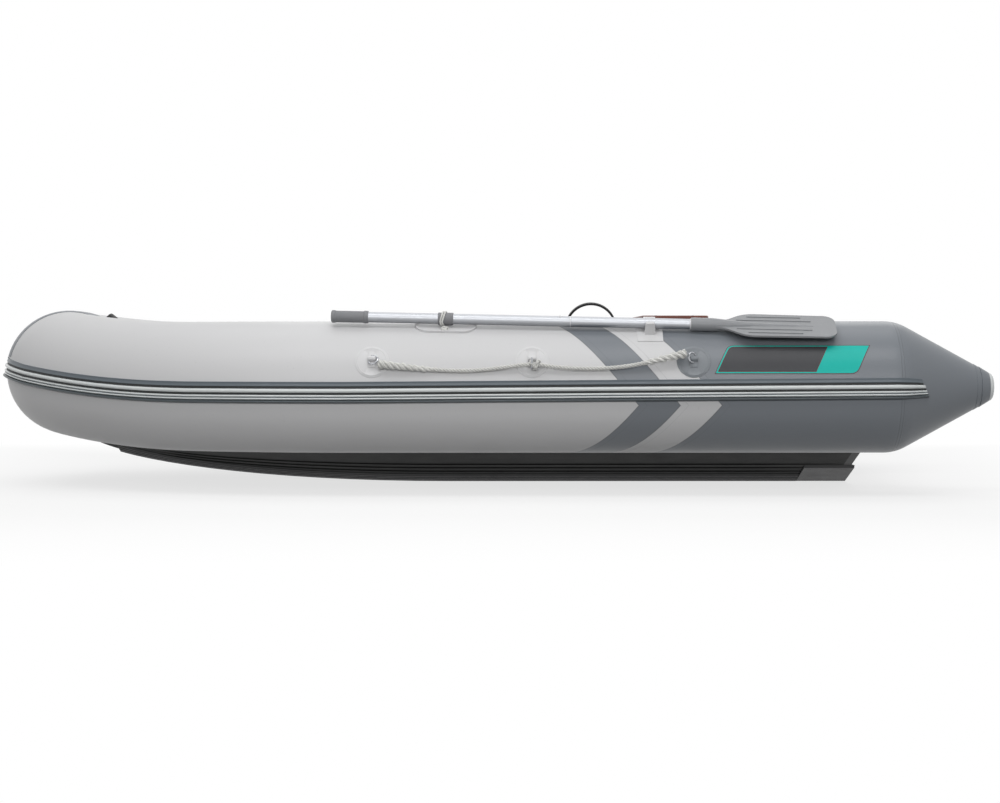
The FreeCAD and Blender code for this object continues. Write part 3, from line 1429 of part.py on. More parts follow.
main()
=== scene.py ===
"""Looks of an inflatable motor boat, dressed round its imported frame."""

import logging
from dataclasses import dataclass
from enum import Enum
from functools import cached_property
from itertools import accumulate
from math import acos, asin, atan2, cos, exp, pi, radians, sin, sqrt, tan, tau
from typing import Callable, Iterable, Sequence

import bmesh
import bpy
from mathutils import Matrix, Vector


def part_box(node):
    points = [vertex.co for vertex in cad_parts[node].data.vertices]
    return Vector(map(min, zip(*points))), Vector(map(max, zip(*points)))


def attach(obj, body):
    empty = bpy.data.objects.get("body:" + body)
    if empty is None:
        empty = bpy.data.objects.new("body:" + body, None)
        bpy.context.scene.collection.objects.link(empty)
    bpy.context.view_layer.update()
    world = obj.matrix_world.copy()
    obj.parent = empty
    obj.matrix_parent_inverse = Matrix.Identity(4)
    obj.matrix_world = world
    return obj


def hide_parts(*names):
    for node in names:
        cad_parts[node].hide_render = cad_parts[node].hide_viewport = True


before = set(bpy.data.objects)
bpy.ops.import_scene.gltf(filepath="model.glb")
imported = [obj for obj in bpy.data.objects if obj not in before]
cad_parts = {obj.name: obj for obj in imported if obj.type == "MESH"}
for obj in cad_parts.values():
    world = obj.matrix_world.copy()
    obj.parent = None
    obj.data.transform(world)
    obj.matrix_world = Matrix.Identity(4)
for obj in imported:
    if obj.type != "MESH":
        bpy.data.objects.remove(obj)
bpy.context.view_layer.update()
LOG = logging.getLogger("boat")
Pair = tuple[float, float]
Triple = tuple[float, float, float]
Colour = Triple
Mesh = bmesh.types.BMesh
Socket = bpy.types.NodeSocket
X_AXIS, Y_AXIS, Z_AXIS = Vector((1, 0, 0)), Vector((0, 1, 0)), Vector((0, 0, 1))
WHITE = (1, 1, 1, 1)
MERGE = 1e-6


class Side(Enum):
    """The two sides of the boat, as the sign of Y."""

    PORT = 1
    STARBOARD = -1

    @property
    def word(self) -> str:
        """The side's name in lower case."""
        return self.name.lower()


class Body(Enum):
    """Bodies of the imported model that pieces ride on."""

    HULL = "hull"
    OAR_PORT = "oar_port"
    OAR_STARBOARD = "oar_starboard"
    BENCH_FRONT = "bench_front"
    BENCH_AFT = "bench_aft"


def srgb(red: int, green: int, blue: int) -> Colour:
    """A colour as it looks on a screen, from 0 to 255, made linear."""
    def linear(value: int) -> float:
        """One channel made linear."""
        share = value / 255
        return share / 12.92 if share <= 0.04045 else ((share + 0.055) / 1.055) ** 2.4
    return linear(red), linear(green), linear(blue)


class Palette(Enum):
    """Colours of the boat's materials."""

    LIGHT_GREY = srgb(204, 204, 205)
    STERN_GREY = srgb(116, 121, 127)
    DUST = srgb(150, 150, 148)
    SPECK = srgb(120, 118, 114)
    SEAM = srgb(70, 74, 78)
    BOTTOM_BLACK = srgb(20, 21, 21)
    RAIL_FLANGE = srgb(92, 101, 108)
    # Pale grey of the cap domes; on the rub rail's beads it is partly their grey rubber and partly a painted
    # highlight.
    RAIL_BEAD = srgb(212, 216, 216)
    # Painted shade: near black stands in for the shadow in the rub rail's grooves.
    RAIL_GROOVE = srgb(22, 25, 26)
    RAIL_LIP = srgb(56, 64, 68)
    PATCH_GREY = srgb(208, 208, 209)
    PATCH_DARK = srgb(122, 127, 132)
    SOFT_BLACK = srgb(26, 26, 28)
    OAR_GREY = srgb(132, 134, 137)
    GRIP_GREY = srgb(120, 121, 124)
    ROPE_WHITE = srgb(232, 232, 228)
    ROPE_SHADE = srgb(70, 68, 64)
    WOOD_RED = srgb(126, 70, 56)
    WOOD_DARK = srgb(76, 40, 33)
    WOOD_PORE = srgb(60, 30, 24)
    STEEL = srgb(178, 180, 184)
    OAR_METAL = srgb(168, 170, 174)
    DULL_METAL = srgb(158, 160, 164)
    PLATE = srgb(186, 188, 191)
    PLATE_DULL = srgb(150, 152, 156)
    PLATE_BRIGHT = srgb(214, 216, 218)
    TEAL = srgb(0, 178, 166)
    BADGE_GREY = srgb(58, 59, 62)
    KEYLINE = srgb(92, 26, 38)

    def toned(self, gain: float, lift: float = 0.0) -> Colour:
        """The colour made darker or paler."""
        return tuple(min(1.0, value * gain + lift) for value in self.value)


def axes_matrix(origin: Vector, first: Vector, second: Vector) -> Matrix:
    """A place whose X and Y axes point along two square unit directions."""
    turn = Matrix((first, second, first.cross(second))).transposed().to_4x4()
    return Matrix.Translation(origin) @ turn


@dataclass(frozen=True)
class HullLines:
    """The lines that the tubes, rail and bottom follow, in metres."""

    tube_radius: float = 0.210
    tube_y: float = 0.605
    tube_z: float = 0.236
    bow_start: float = 0.397
    side_radius: float = 1.290
    nose_radius: float = 0.260
    bow_lift: float = 0.041
    lift_start: float = 0.907
    cone_start: float = -1.300
    cone_end: float = -1.604
    cone_shoulder: float = 0.036
    cone_slope: float = radians(28.6)
    keel_z: float = -0.100
    keel_rise_start: float = 0.100
    keel_nose_x: float = 1.385
    keel_nose_z: float = 0.075
    edge_inset: float = 0.040
    edge_drop: float = 0.162

    @property
    def straight(self) -> float:
        """Length of a side tube between its cone and the bow."""
        return self.bow_start - self.cone_start

    @property
    def side_turn(self) -> float:
        """Turn at which the side's long arc meets the nose's short one."""
        return acos((self.side_radius - self.tube_y) / (self.side_radius - self.nose_radius))

    @property
    def nose_centre(self) -> float:
        """X of the nose arc's centre."""
        return self.bow_start + (self.side_radius - self.nose_radius) * sin(self.side_turn)

    def tube_height(self, x: float) -> float:
        """Height of the tube's centre line, which lifts towards the nose."""
        nose_x = self.nose_centre + self.nose_radius
        along = max(0.0, (x - self.lift_start) / (nose_x - self.lift_start))
        return self.tube_z + self.bow_lift * along ** 2

    def bow_point(self, turn: float) -> Vector:
        """Point of the tube's centre line round the bow, from turn 0 at port to pi at starboard."""
        port_turn = min(turn, pi - turn)
        if port_turn <= self.side_turn:
            x = self.bow_start + self.side_radius * sin(port_turn)
            y = self.tube_y - self.side_radius + self.side_radius * cos(port_turn)
        else:
            x = self.nose_centre + self.nose_radius * sin(port_turn)
            y = self.nose_radius * cos(port_turn)
        return Vector((x, y if turn <= pi / 2 else -y, self.tube_height(x)))

    def bow_turns(self, side_steps: int, nose_steps: int) -> list[float]:
        """Turns from port to starboard at even distances along each arc."""
        side = span(0.0, self.side_turn, side_steps)[:-1]
        nose = span(self.side_turn, pi - self.side_turn, nose_steps)
        return side + nose + [pi - turn for turn in reversed(side)]

    def bow_place(self, turn: float, roll: float = 0.0) -> Matrix:
        """Place of a section round the bow: its X points outboard and its Y up, turned by roll."""
        outward = Vector((sin(turn), cos(turn), 0))
        return axes_matrix(self.bow_point(turn), outward, Z_AXIS) @ Matrix.Rotation(roll, 4, "Z")

    def side_place(self, x: float, side: Side, roll: float = 0.0) -> Matrix:
        """Place of a section on a straight tube: its X points outboard and its Y up, turned by roll."""
        centre = Vector((x, side.value * self.tube_y, self.tube_z))
        return axes_matrix(centre, Y_AXIS * side.value, Z_AXIS) @ Matrix.Rotation(roll, 4, "Z")

    def stern_radius(self, x: float) -> float:
        """Radius of the tube at x, with the stern cone's rounded shoulder."""
        if x >= self.cone_start:
            return self.tube_radius
        shoulder_x = self.cone_start - self.cone_shoulder
        shoulder_radius = self.cone_shoulder / tan(self.cone_slope / 2)
        arc_end = shoulder_x - self.cone_shoulder * cos(self.cone_slope)
        if x >= arc_end:
            run = self.cone_start - x
            return self.tube_radius - shoulder_radius + sqrt(shoulder_radius ** 2 - run ** 2)
        return self.tube_radius - (shoulder_x - x) * tan(self.cone_slope)

    def keel_height(self, x: float) -> float:
        """Height of the keel's lower edge: level, then a curve up to the nose."""
        along = max(0.0, (x - self.keel_rise_start) / (self.keel_nose_x - self.keel_rise_start))
        rise = self.keel_nose_z - self.keel_z
        return self.keel_nose_z - rise * (1 - min(1.0, along) ** 2.05) ** (1 / 1.8)

    def bottom_edge(self, x: float) -> Pair:
        """Y and Z where the bottom's sheet ends, inside the tube that it is bonded to."""
        side_reach = self.side_radius - self.edge_inset
        if x <= self.bow_start:
            y = self.tube_y - self.edge_inset
        elif x <= self.bow_start + side_reach * sin(self.side_turn):
            y = self.tube_y - self.side_radius + sqrt(side_reach ** 2 - (x - self.bow_start) ** 2)
        else:
            reach = self.nose_radius - self.edge_inset
            y = sqrt(max(MERGE, reach ** 2 - (x - self.nose_centre) ** 2))
        return y, self.tube_height(x) - self.edge_drop

    def on_tube(self, x: float, lean: float, lift: float, side: Side) -> Vector:
        """Point over a straight tube's skin.

        Args:
            x: place along the boat.
            lean: angle from straight up towards the outboard side, in radians.
            lift: height over the skin.
            side: port or starboard.

        Returns:
            The point, in metres.
        """
        reach = self.tube_radius + lift
        return Vector((x, side.value * (self.tube_y + reach * sin(lean)),
                       self.tube_z + reach * cos(lean)))


LINES = HullLines()


def shares(count: int) -> list[float]:
    """Even steps from 0 to 1, with both ends."""
    return [step / count for step in range(count + 1)]


def span(first: float, last: float, count: int) -> list[float]:
    """Even steps from one value to another, with both ends."""
    return [first + (last - first) * share for share in shares(count)]


def reaches(points: Sequence[Vector]) -> list[float]:
    """Distance of each point along its line."""
    steps = ((after - before).length for before, after in zip(points, points[1:]))
    return list(accumulate(steps, initial=0.0))


def dots(mesh: Mesh, points: Iterable[Sequence[float]]) -> list[bmesh.types.BMVert]:
    """New points of a mesh."""
    return [bmesh.ops.create_vert(mesh, co=point)["vert"][0] for point in points]


def faced(mesh: Mesh) -> Mesh:
    """The mesh with its faces turned outward."""
    bmesh.ops.recalc_face_normals(mesh, faces=mesh.faces)
    return mesh


def skin(rings: Sequence[Sequence[Vector]], zones: Sequence[int] = (), closed: bool = True,
         capped: bool = True) -> Mesh:
    """Skin a row of like outlines by extruding the first one from each to the next.

    Args:
        rings: outlines of the same number of points.
        zones: material index of each side of the outline.
        closed: True if each outline is a closed loop.
        capped: True to close the first and last outline.

    Returns:
        The mesh, whose points hold their distance along it and their share round it.
    """
    mesh = bmesh.new()
    spot = mesh.verts.layers.int.new("spot")
    along = mesh.verts.layers.float.new("along")
    around = mesh.verts.layers.float.new("around")
    count = len(rings[0])
    first = dots(mesh, rings[0])
    for index, vert in enumerate(first):
        vert[spot], vert[around] = index, index / count
    sides = count if closed else count - 1
    edges = [mesh.edges.new((first[index], first[(index + 1) % count])) for index in range(sides)]
    start_edges = list(edges)
    reach = 0.0
    for before, ring in zip(rings, rings[1:]):
        reach += (ring[0] - before[0]).length
        grown = bmesh.ops.extrude_edge_only(mesh, edges=edges)["geom"]
        fresh = {item for item in grown if isinstance(item, bmesh.types.BMVert)}
        for vert in fresh:
            vert.co = ring[vert[spot]]
            vert[along] = reach
        edges = [item for item in grown if isinstance(item, bmesh.types.BMEdge)
                 and all(vert in fresh for vert in item.verts)]
        for edge in edges if zones else ():
            low, high = sorted(vert[spot] for vert in edge.verts)
            edge.link_faces[0].material_index = zones[low if high - low == 1 else high]
    if capped and closed:
        for loop in (start_edges, edges):
            bmesh.ops.contextual_create(mesh, geom=loop)
    return faced(mesh)


def ring_at(place: Matrix, outline: Sequence[Pair]) -> list[Vector]:
    """A flat outline set in a place's X and Y."""
    return [place @ Vector((u, v, 0)) for u, v in outline]


def sweep(outline: Sequence[Pair], places: Sequence[Matrix]) -> Mesh:
    """Sweep a flat closed outline through a row of places."""
    return skin([ring_at(place, outline) for place in places])


def circle_outline(radius: float, sides: int) -> list[Pair]:
    """A regular outline round the origin."""
    return [(radius * cos(angle), radius * sin(angle)) for angle in span(0.0, tau, sides)[:-1]]


def rounded_outline(width: float, height: float, radius: float, steps: int = 4) -> list[Pair]:
    """A rectangle round the origin with round corners."""
    points = []
    for quarter, (sign_u, sign_v) in enumerate(((1, 1), (-1, 1), (-1, -1), (1, -1))):
        for share in shares(steps):
            angle = (quarter + share) * pi / 2
            points.append((sign_u * (width / 2 - radius) + radius * cos(angle),
                           sign_v * (height / 2 - radius) + radius * sin(angle)))
    return points


def path_places(points: Sequence[Vector], up: Vector = Z_AXIS) -> list[Matrix]:
    """Places along a line of points, each turned as little as it can be from the one before."""
    places = []
    ahead = (points[1] - points[0]).normalized()
    first = (up - ahead * up.dot(ahead)).normalized()
    for index, point in enumerate(points):
        low, high = max(0, index - 1), min(len(points) - 1, index + 1)
        ahead = (points[high] - points[low]).normalized()
        first = (first - ahead * first.dot(ahead)).normalized()
        places.append(axes_matrix(point, first, ahead.cross(first)))
    return places


def joined(parts: Iterable[Mesh]) -> Mesh:
    """One mesh that holds several; the parts are freed."""
    whole = bmesh.new()
    for part in parts:
        step = bpy.data.meshes.new("part")
        part.to_mesh(step)
        part.free()
        whole.from_mesh(step)
        bpy.data.meshes.remove(step)
    return whole


def turned(profile: Sequence[Pair], place: Matrix, steps: int) -> Mesh:
    """Spin a profile of (radius, height) round a place's Z axis."""
    mesh = bmesh.new()
    spots = dots(mesh, [(radius, 0, height) for radius, height in profile])
    for low, high in zip(spots, spots[1:]):
        mesh.edges.new((low, high))
    bmesh.ops.spin(mesh, geom=mesh.verts[:] + mesh.edges[:], cent=(0, 0, 0), axis=(0, 0, 1),
                   angle=tau, steps=steps, use_merge=True, use_duplicate=False)
    bmesh.ops.remove_doubles(mesh, verts=mesh.verts, dist=MERGE)
    bmesh.ops.transform(faced(mesh), matrix=place, verts=mesh.verts)
    return mesh


def wrapped(mesh: Mesh, x: float, lean: float, side: Side) -> Mesh:
    """Bend a flat mesh over a straight tube: its X runs forward, its Y outboard and its Z off the skin."""
    for vert in mesh.verts:
        angle = lean + vert.co.y / LINES.tube_radius
        vert.co = LINES.on_tube(x + vert.co.x, angle, vert.co.z, side)
    if side is Side.STARBOARD:
        bmesh.ops.reverse_faces(mesh, faces=mesh.faces)
    return mesh


def in_scene(name: str, data: bpy.types.ID) -> bpy.types.Object:
    """A new object in the scene, at the origin."""
    item = bpy.data.objects.new(name, data)
    bpy.context.scene.collection.objects.link(item)
    return item


class Graph:
    """The nodes of a material or world, with short calls for the ones that the finishes share."""

    def __init__(self, owner: bpy.types.ID) -> None:
        """Take over the nodes of a new material or world."""
        owner.use_nodes = True
        self.owner, self.tree = owner, owner.node_tree
        self.height: object = 0.0

    @cached_property
    def place(self) -> Socket:
        """The shaded point in the object's own coordinates."""
        return self.add("ShaderNodeTexCoord").outputs["Object"]

    def feed(self, socket: Socket, value: object) -> None:
        """Link a socket to an input, or set the input's value."""
        if isinstance(value, Socket):
            self.tree.links.new(value, socket)
        else:
            socket.default_value = value

    def add(self, kind: str, inputs: dict | None = None, **settings: object) -> bpy.types.Node:
        """Add a node with its settings and inputs."""
        made = self.tree.nodes.new(kind)
        for key, value in settings.items():
            setattr(made, key, value)
        for key, value in (inputs or {}).items():
            self.feed(made.inputs[key], value)
        return made

    def math(self, operation: str, first: object, second: object = 0.0, third: object = 0.0) -> Socket:
        """The result of one sum on plain numbers or sockets."""
        return self.add("ShaderNodeMath", {0: first, 1: second, 2: third}, operation=operation).outputs[0]

    def times(self, first: object, second: object) -> Socket:
        """The product of two values."""
        return self.math("MULTIPLY", first, second)

    def less(self, first: object, second: object) -> Socket:
        """The first value less the second."""
        return self.math("SUBTRACT", first, second)

    def wave(self, value: Socket, pitch: float) -> Socket:
        """A sine along a value, in waves of one pitch."""
        return self.math("SINE", self.times(value, tau / pitch))

    def axes(self) -> list[Socket]:
        """The object's X, Y and Z at the shaded point."""
        split = self.add("ShaderNodeSeparateXYZ", {0: self.place})
        return [split.outputs[axis] for axis in "XYZ"]

    def noise(self, scale: float, detail: float = 2.0, stretch: Sequence[float] = (1, 1, 1)) -> Socket:
        """Soft noise from 0 to 1, in waves to the metre, stretched by its axes' scales."""
        spread = self.add("ShaderNodeMapping", {"Vector": self.place, "Scale": stretch})
        return self.add("ShaderNodeTexNoise", {"Vector": spread.outputs[0], "Scale": scale,
                                               "Detail": detail}).outputs[0]

    def attribute(self, name: str) -> Socket:
        """A number that the piece's own points hold."""
        return self.add("ShaderNodeAttribute", attribute_name=name).outputs["Fac"]

    def full(self, colour: object) -> object:
        """A plain colour with its fourth value, or the socket as it is."""
        value = colour.value if isinstance(colour, Palette) else colour
        return (*value, 1.0) if isinstance(value, tuple) else value

    def mix(self, share: object, first: object, second: object) -> Socket:
        """A colour between two colours."""
        inputs = {0: share, 6: self.full(first), 7: self.full(second)}
        return self.add("ShaderNodeMix", inputs, data_type="RGBA").outputs[2]

    def tint(self, mask: Socket, strength: float, under: object, over: object) -> Socket:
        """A colour with another laid faintly over it where a mask is 1."""
        return self.mix(self.times(mask, strength), under, over)

    def step(self, value: object, edge: float, soft: float = 0.0006) -> Socket:
        """0 below an edge and 1 above it, with a soft change."""
        limits = {"Value": value, "From Min": edge - soft, "From Max": edge + soft}
        return self.add("ShaderNodeMapRange", limits, clamp=True).outputs[0]

    def between(self, value: object, low: float, high: float, soft: float = 0.0006) -> Socket:
        """1 where a value lies between two limits, with a soft edge."""
        return self.less(self.step(value, low, soft), self.step(value, high, soft))

    def ramp(self, value: object, low: float, high: float) -> Socket:
        """A value from 0 to 1, moved to run from low to high."""
        return self.add("ShaderNodeMapRange", {"Value": value, "To Min": low, "To Max": high},
                        clamp=True).outputs[0]

    def raise_by(self, share: object, metres: float) -> None:
        """Add a share of a height to the surface's relief."""
        self.height = self.math("MULTIPLY_ADD", share, metres, self.height)

    def finish(self, colour: object, roughness: object, metallic: float = 0.0, specular: float = 0.5,
               coat: float = 0.0, sheen: float = 0.0) -> None:
        """Set the shader's inputs and its relief."""
        values = {"Base Color": self.full(colour), "Roughness": roughness, "Metallic": metallic,
                  "Specular IOR Level": specular, "Coat Weight": coat, "Coat Roughness": 0.25,
                  "Sheen Weight": sheen}
        if isinstance(self.height, Socket):
            bump = self.add("ShaderNodeBump", {"Height": self.height, "Strength": 1.0, "Distance": 1.0})
            values["Normal"] = bump.outputs[0]
        for key, value in values.items():
            self.feed(self.tree.nodes["Principled BSDF"].inputs[key], value)

    def choose(self, share: Socket, first: bpy.types.Node, second: bpy.types.Node, output: str) -> None:
        """Show the first shader where a share is 0 and the second where it is 1."""
        made = self.add("ShaderNodeMixShader", {0: share, 1: first.outputs[0], 2: second.outputs[0]})
        self.feed(self.tree.nodes[output].inputs["Surface"], made.outputs[0])


@dataclass(frozen=True)
class Recipe:
    """How one finish is made."""

    name: str
    colour: Palette

    def fill(self, graph: Graph) -> None:
        """Lay the finish's nodes; each kind of finish has its own."""
        raise NotImplementedError

    def made(self) -> bpy.types.Material:
        """The finished material."""
        graph = Graph(bpy.data.materials.new(self.name))
        self.fill(graph)
        return graph.owner


@dataclass(frozen=True)
class CoatedFabric(Recipe):
    """Coated fabric of the tubes and patches: fine grain, faint mottling and a soft gloss."""

    roughness: float = 0.42
    grain: float = 0.00004
    specular: float = 0.4

    def coat(self, graph: Graph, colour: object, smoother: Socket | None = None) -> None:
        """Cloud and dust a colour, lay the coating's grain and the slow waves of taut cloth, and finish.

        Args:
            graph: the material's nodes.
            colour: the fabric's colour, before dust.
            smoother: how much to take off the roughness, where it differs.
        """
        graph.raise_by(graph.noise(900.0), self.grain)
        graph.raise_by(graph.noise(7.0, 2.0, (0.5, 1.6, 1.6)), 0.0009)
        rough = graph.ramp(graph.noise(14.0, 3.0), self.roughness - 0.05, self.roughness + 0.07)
        if smoother:
            rough = graph.less(rough, smoother)
        worn = graph.mix(graph.ramp(graph.noise(3.0, 3.0), 0.0, 0.05), colour, Palette.DUST)
        specks = graph.step(graph.noise(90.0), 0.72, 0.03)
        graph.finish(graph.tint(specks, 0.08, worn, Palette.SPECK), rough, specular=self.specular)

    def fill(self, graph: Graph) -> None:
        """Plain fabric."""
        self.coat(graph, self.colour)


@dataclass(frozen=True)
class StripedFabric(CoatedFabric):
    """Tube fabric whose light bow and dark stern meet in two slanting stripes on each side."""

    edge_x: float = -0.5077
    stripe_width: float = 0.129
    slant: float = 0.172
    apex: float = 0.2535
    overlap: float = 0.0250
    seam_xs: Pair = (-1.3225, -1.3315)

    def fill(self, graph: Graph) -> None:
        """Stripes and seams, placed by the object's own coordinates."""
        x, y, z = graph.axes()
        aside = graph.less(graph.math("ABSOLUTE", y), LINES.tube_y)
        angle = graph.math("ARCTAN2", graph.less(z, LINES.tube_z), aside)
        reach = graph.math("ABSOLUTE", graph.math("ADD", angle, self.apex))
        reach = graph.math("MINIMUM", reach, graph.less(tau, reach))
        place = graph.less(x, graph.times(reach, self.slant))
        edges = [self.edge_x - self.stripe_width * index for index in range(3)]
        light = graph.math("ADD", graph.step(place, edges[0]), graph.between(place, edges[2], edges[1]))
        lines = None
        for edge in edges:
            mark = graph.between(place, edge - 0.0016, edge + 0.0016, 0.0008)
            lap = edge - self.overlap
            stitch = graph.between(place, lap - 0.0010, lap + 0.0006, 0.0008)
            graph.raise_by(graph.step(place, edge), 0.0005)
            graph.raise_by(graph.step(place, lap, 0.0012), -0.0003)
            both = graph.math("MAXIMUM", mark, graph.times(stitch, 0.35))
            lines = graph.math("MAXIMUM", lines, both) if lines else both
        for seam in self.seam_xs:
            mark = graph.between(x, seam - 0.0012, seam + 0.0012, 0.0008)
            graph.raise_by(mark, 0.0004)
            lines = graph.math("MAXIMUM", lines, graph.times(mark, 0.6))
        colour = graph.mix(light, Palette.STERN_GREY, self.colour)
        smoother = graph.times(graph.less(1.0, light), 0.08)
        self.coat(graph, graph.tint(lines, 0.55, colour, Palette.SEAM), smoother)


@dataclass(frozen=True)
class Rubber(Recipe):
    """Moulded or extruded rubber with a fine skin and faint scuffs."""

    roughness: float = 0.45
    grain: float = 0.00006

    def fill(self, graph: Graph) -> None:
        """Skin, scuffs and gloss."""
        graph.raise_by(graph.noise(1400.0), self.grain)
        graph.raise_by(graph.noise(60.0), 0.00012)
        scuffs = graph.step(graph.noise(45.0, 6.0, (0.4, 2.0, 2.0)), 0.66, 0.06)
        colour = graph.tint(scuffs, 0.35, self.colour, self.colour.toned(1.25, 0.02))
        graph.finish(colour, graph.ramp(graph.noise(30.0, 4.0), self.roughness - 0.08, self.roughness + 0.1))


@dataclass(frozen=True)
class Metal(Recipe):
    """Polished, anodised or rolled metal with fine drawn lines along one axis."""

    roughness: float = 0.25
    stretch: Triple = (0.02, 1.0, 1.0)

    def fill(self, graph: Graph) -> None:
        """Drawn lines and dull clouds."""
        lines = graph.noise(1500.0, 3.0, self.stretch)
        graph.raise_by(lines, 0.00001)
        clouds = graph.ramp(graph.noise(25.0, 4.0), 0.0, 0.35)
        colour = graph.mix(clouds, self.colour, self.colour.toned(0.8))
        graph.finish(colour, graph.ramp(lines, self.roughness - 0.06, self.roughness + 0.1), metallic=1.0)


@dataclass(frozen=True)
class RibbedPlate(Recipe):
    """Extruded floor panels: rounded ribs across the boat and dull aluminium."""

    pitch: float = 0.022

    def fill(self, graph: Graph) -> None:
        """Ribs, drawn lines and dull clouds."""
        ribs = graph.step(graph.wave(graph.axes()[0], self.pitch), 0.35, 0.35)
        graph.raise_by(ribs, 0.0012)
        graph.raise_by(graph.noise(1200.0, 2.0, (1, 0.02, 1)), 0.00002)
        clouded = graph.mix(graph.ramp(graph.noise(12.0, 5.0), 0.0, 0.6), self.colour, Palette.PLATE_DULL)
        colour = graph.tint(ribs, 0.25, clouded, Palette.PLATE_BRIGHT)
        graph.finish(colour, graph.ramp(graph.noise(40.0, 4.0), 0.32, 0.5), metallic=0.6)


@dataclass(frozen=True)
class Plywood(Recipe):
    """Varnished marine plywood, with its grain along the axis of the smallest stretch."""

    stretch: Triple = (1.0, 0.08, 1.0)
    specular: float = 0.35
    varnish: float = 0.06

    def footed(self, graph: Graph, colour: Socket) -> Socket:
        """The wood's colour with whatever covers its foot: nothing on a plain board."""
        return colour

    def fill(self, graph: Graph) -> None:
        """Broad grain, fine pores and varnish."""
        broad = graph.noise(11.0, 5.0, self.stretch)
        fine = graph.noise(160.0, 3.0, self.stretch)
        wood = graph.mix(graph.ramp(broad, 0.0, 1.0), self.colour, Palette.WOOD_DARK)
        wood = graph.tint(graph.step(fine, 0.58, 0.05), 0.4, wood, Palette.WOOD_PORE)
        graph.raise_by(fine, 0.00008)
        graph.finish(self.footed(graph, wood), graph.ramp(broad, 0.42, 0.54), specular=self.specular,
                     coat=self.varnish)


@dataclass(frozen=True)
class FootedPlywood(Plywood):
    """Plywood of the transom, whose foot is wrapped in the bottom's dark cloth."""

    specular: float = 0.2
    varnish: float = 0.0
    foot_z: float = 0.064

    def footed(self, graph: Graph, colour: Socket) -> Socket:
        """The wood above the foot and dark cloth below it."""
        above = graph.math("GREATER_THAN", graph.axes()[2], self.foot_z)
        return graph.mix(above, Palette.BOTTOM_BLACK, colour)


@dataclass(frozen=True)
class Yarn(Recipe):
    """Fibres of rope or webbing: fine threads that follow the piece, and a soft sheen."""

    ridge: float = 0.0011
    across: float = 0.0
    groove: float = 0.0

    def fill(self, graph: Graph) -> None:
        """Threads along and across, and painted shade between a rope's strands."""
        graph.raise_by(graph.noise(1100.0, 3.0), 0.00018)
        graph.raise_by(graph.wave(graph.attribute("along"), self.ridge), 0.00008)
        if self.across:
            graph.raise_by(graph.math("SINE", graph.times(graph.attribute("around"), self.across)), 0.00008)
        clouds = graph.ramp(graph.noise(240.0, 3.0), 0.0, 0.6)
        colour = graph.mix(clouds, self.colour, self.colour.toned(0.72))
        # Painted shade: each strand's inner side, where the strands lie against each other, is darkened
        # towards the rope's shade colour.
        if self.groove:
            facing = graph.math("COSINE", graph.times(graph.attribute("around"), tau))
            colour = graph.tint(graph.less(1.0, graph.step(facing, 0.1, 0.6)), self.groove, colour,
                                Palette.ROPE_SHADE)
        graph.finish(colour, 0.78, specular=0.3, sheen=0.25)


@dataclass(frozen=True)
class Film(Recipe):
    """Printed film of the blank badge: even colour under a clear coat."""

    def fill(self, graph: Graph) -> None:
        """Faint clouds under the coat."""
        graph.raise_by(graph.noise(500.0), 0.00002)
        paler = self.colour.toned(1.12, 0.01)
        colour = graph.mix(graph.ramp(graph.noise(20.0, 3.0), 0.0, 0.5), self.colour, paler)
        graph.finish(colour, 0.45, specular=0.25, coat=0.08)


class Finish(Enum):
    """Every finish of the boat."""

    TUBES = StripedFabric("tube_fabric", Palette.LIGHT_GREY)
    STERN = CoatedFabric("stern_fabric", Palette.STERN_GREY)
    BOTTOM = CoatedFabric("bottom_fabric", Palette.BOTTOM_BLACK, 0.55, 0.00008, 0.06)
    PATCH = CoatedFabric("patch_fabric", Palette.PATCH_GREY, 0.36)
    PATCH_DARK = CoatedFabric("patch_fabric_dark", Palette.PATCH_DARK, 0.36)
    FLANGE = Rubber("rail_flange", Palette.RAIL_FLANGE, 0.36)
    BEAD = Rubber("rail_bead", Palette.RAIL_BEAD, 0.22)
    GROOVE = Rubber("rail_groove", Palette.RAIL_GROOVE, 0.6)
    LIP = Rubber("rail_lip", Palette.RAIL_LIP, 0.34)
    BLACK = Rubber("black_rubber", Palette.SOFT_BLACK, 0.5, 0.0001)
    OAR_PLASTIC = Rubber("oar_plastic", Palette.OAR_GREY, 0.34)
    GRIP = Rubber("grip_rubber", Palette.GRIP_GREY, 0.55, 0.00012)
    PRONG = Rubber("prong_rubber", Palette.PATCH_GREY, 0.4)
    OAR_TUBE = Metal("oar_tube", Palette.OAR_METAL, 0.4)
    STEEL = Metal("polished_steel", Palette.STEEL, 0.14, (1, 1, 1))
    PLATE = RibbedPlate("ribbed_plate", Palette.PLATE)
    ROLLED = Metal("rolled_aluminium", Palette.DULL_METAL, 0.5, (1.0, 0.02, 1.0))
    BENCH_WOOD = Plywood("bench_wood", Palette.WOOD_RED)
    TRANSOM_WOOD = FootedPlywood("transom_wood", Palette.WOOD_RED)
    ROPE = Yarn("rope_yarn", Palette.ROPE_WHITE, groove=0.38)
    THIN_CORD = Yarn("thin_cord_yarn", Palette.ROPE_WHITE)
    WEBBING = Yarn("webbing_yarn", Palette.SOFT_BLACK, 0.0016, 90.0)
    TEAL = Film("badge_teal", Palette.TEAL)
    BADGE = Film("badge_field", Palette.BADGE_GREY)
    KEYLINE = Film("badge_keyline", Palette.KEYLINE)

    @cached_property
    def material(self) -> bpy.types.Material:
        """The finish as a material, made once."""
        return self.value.made()


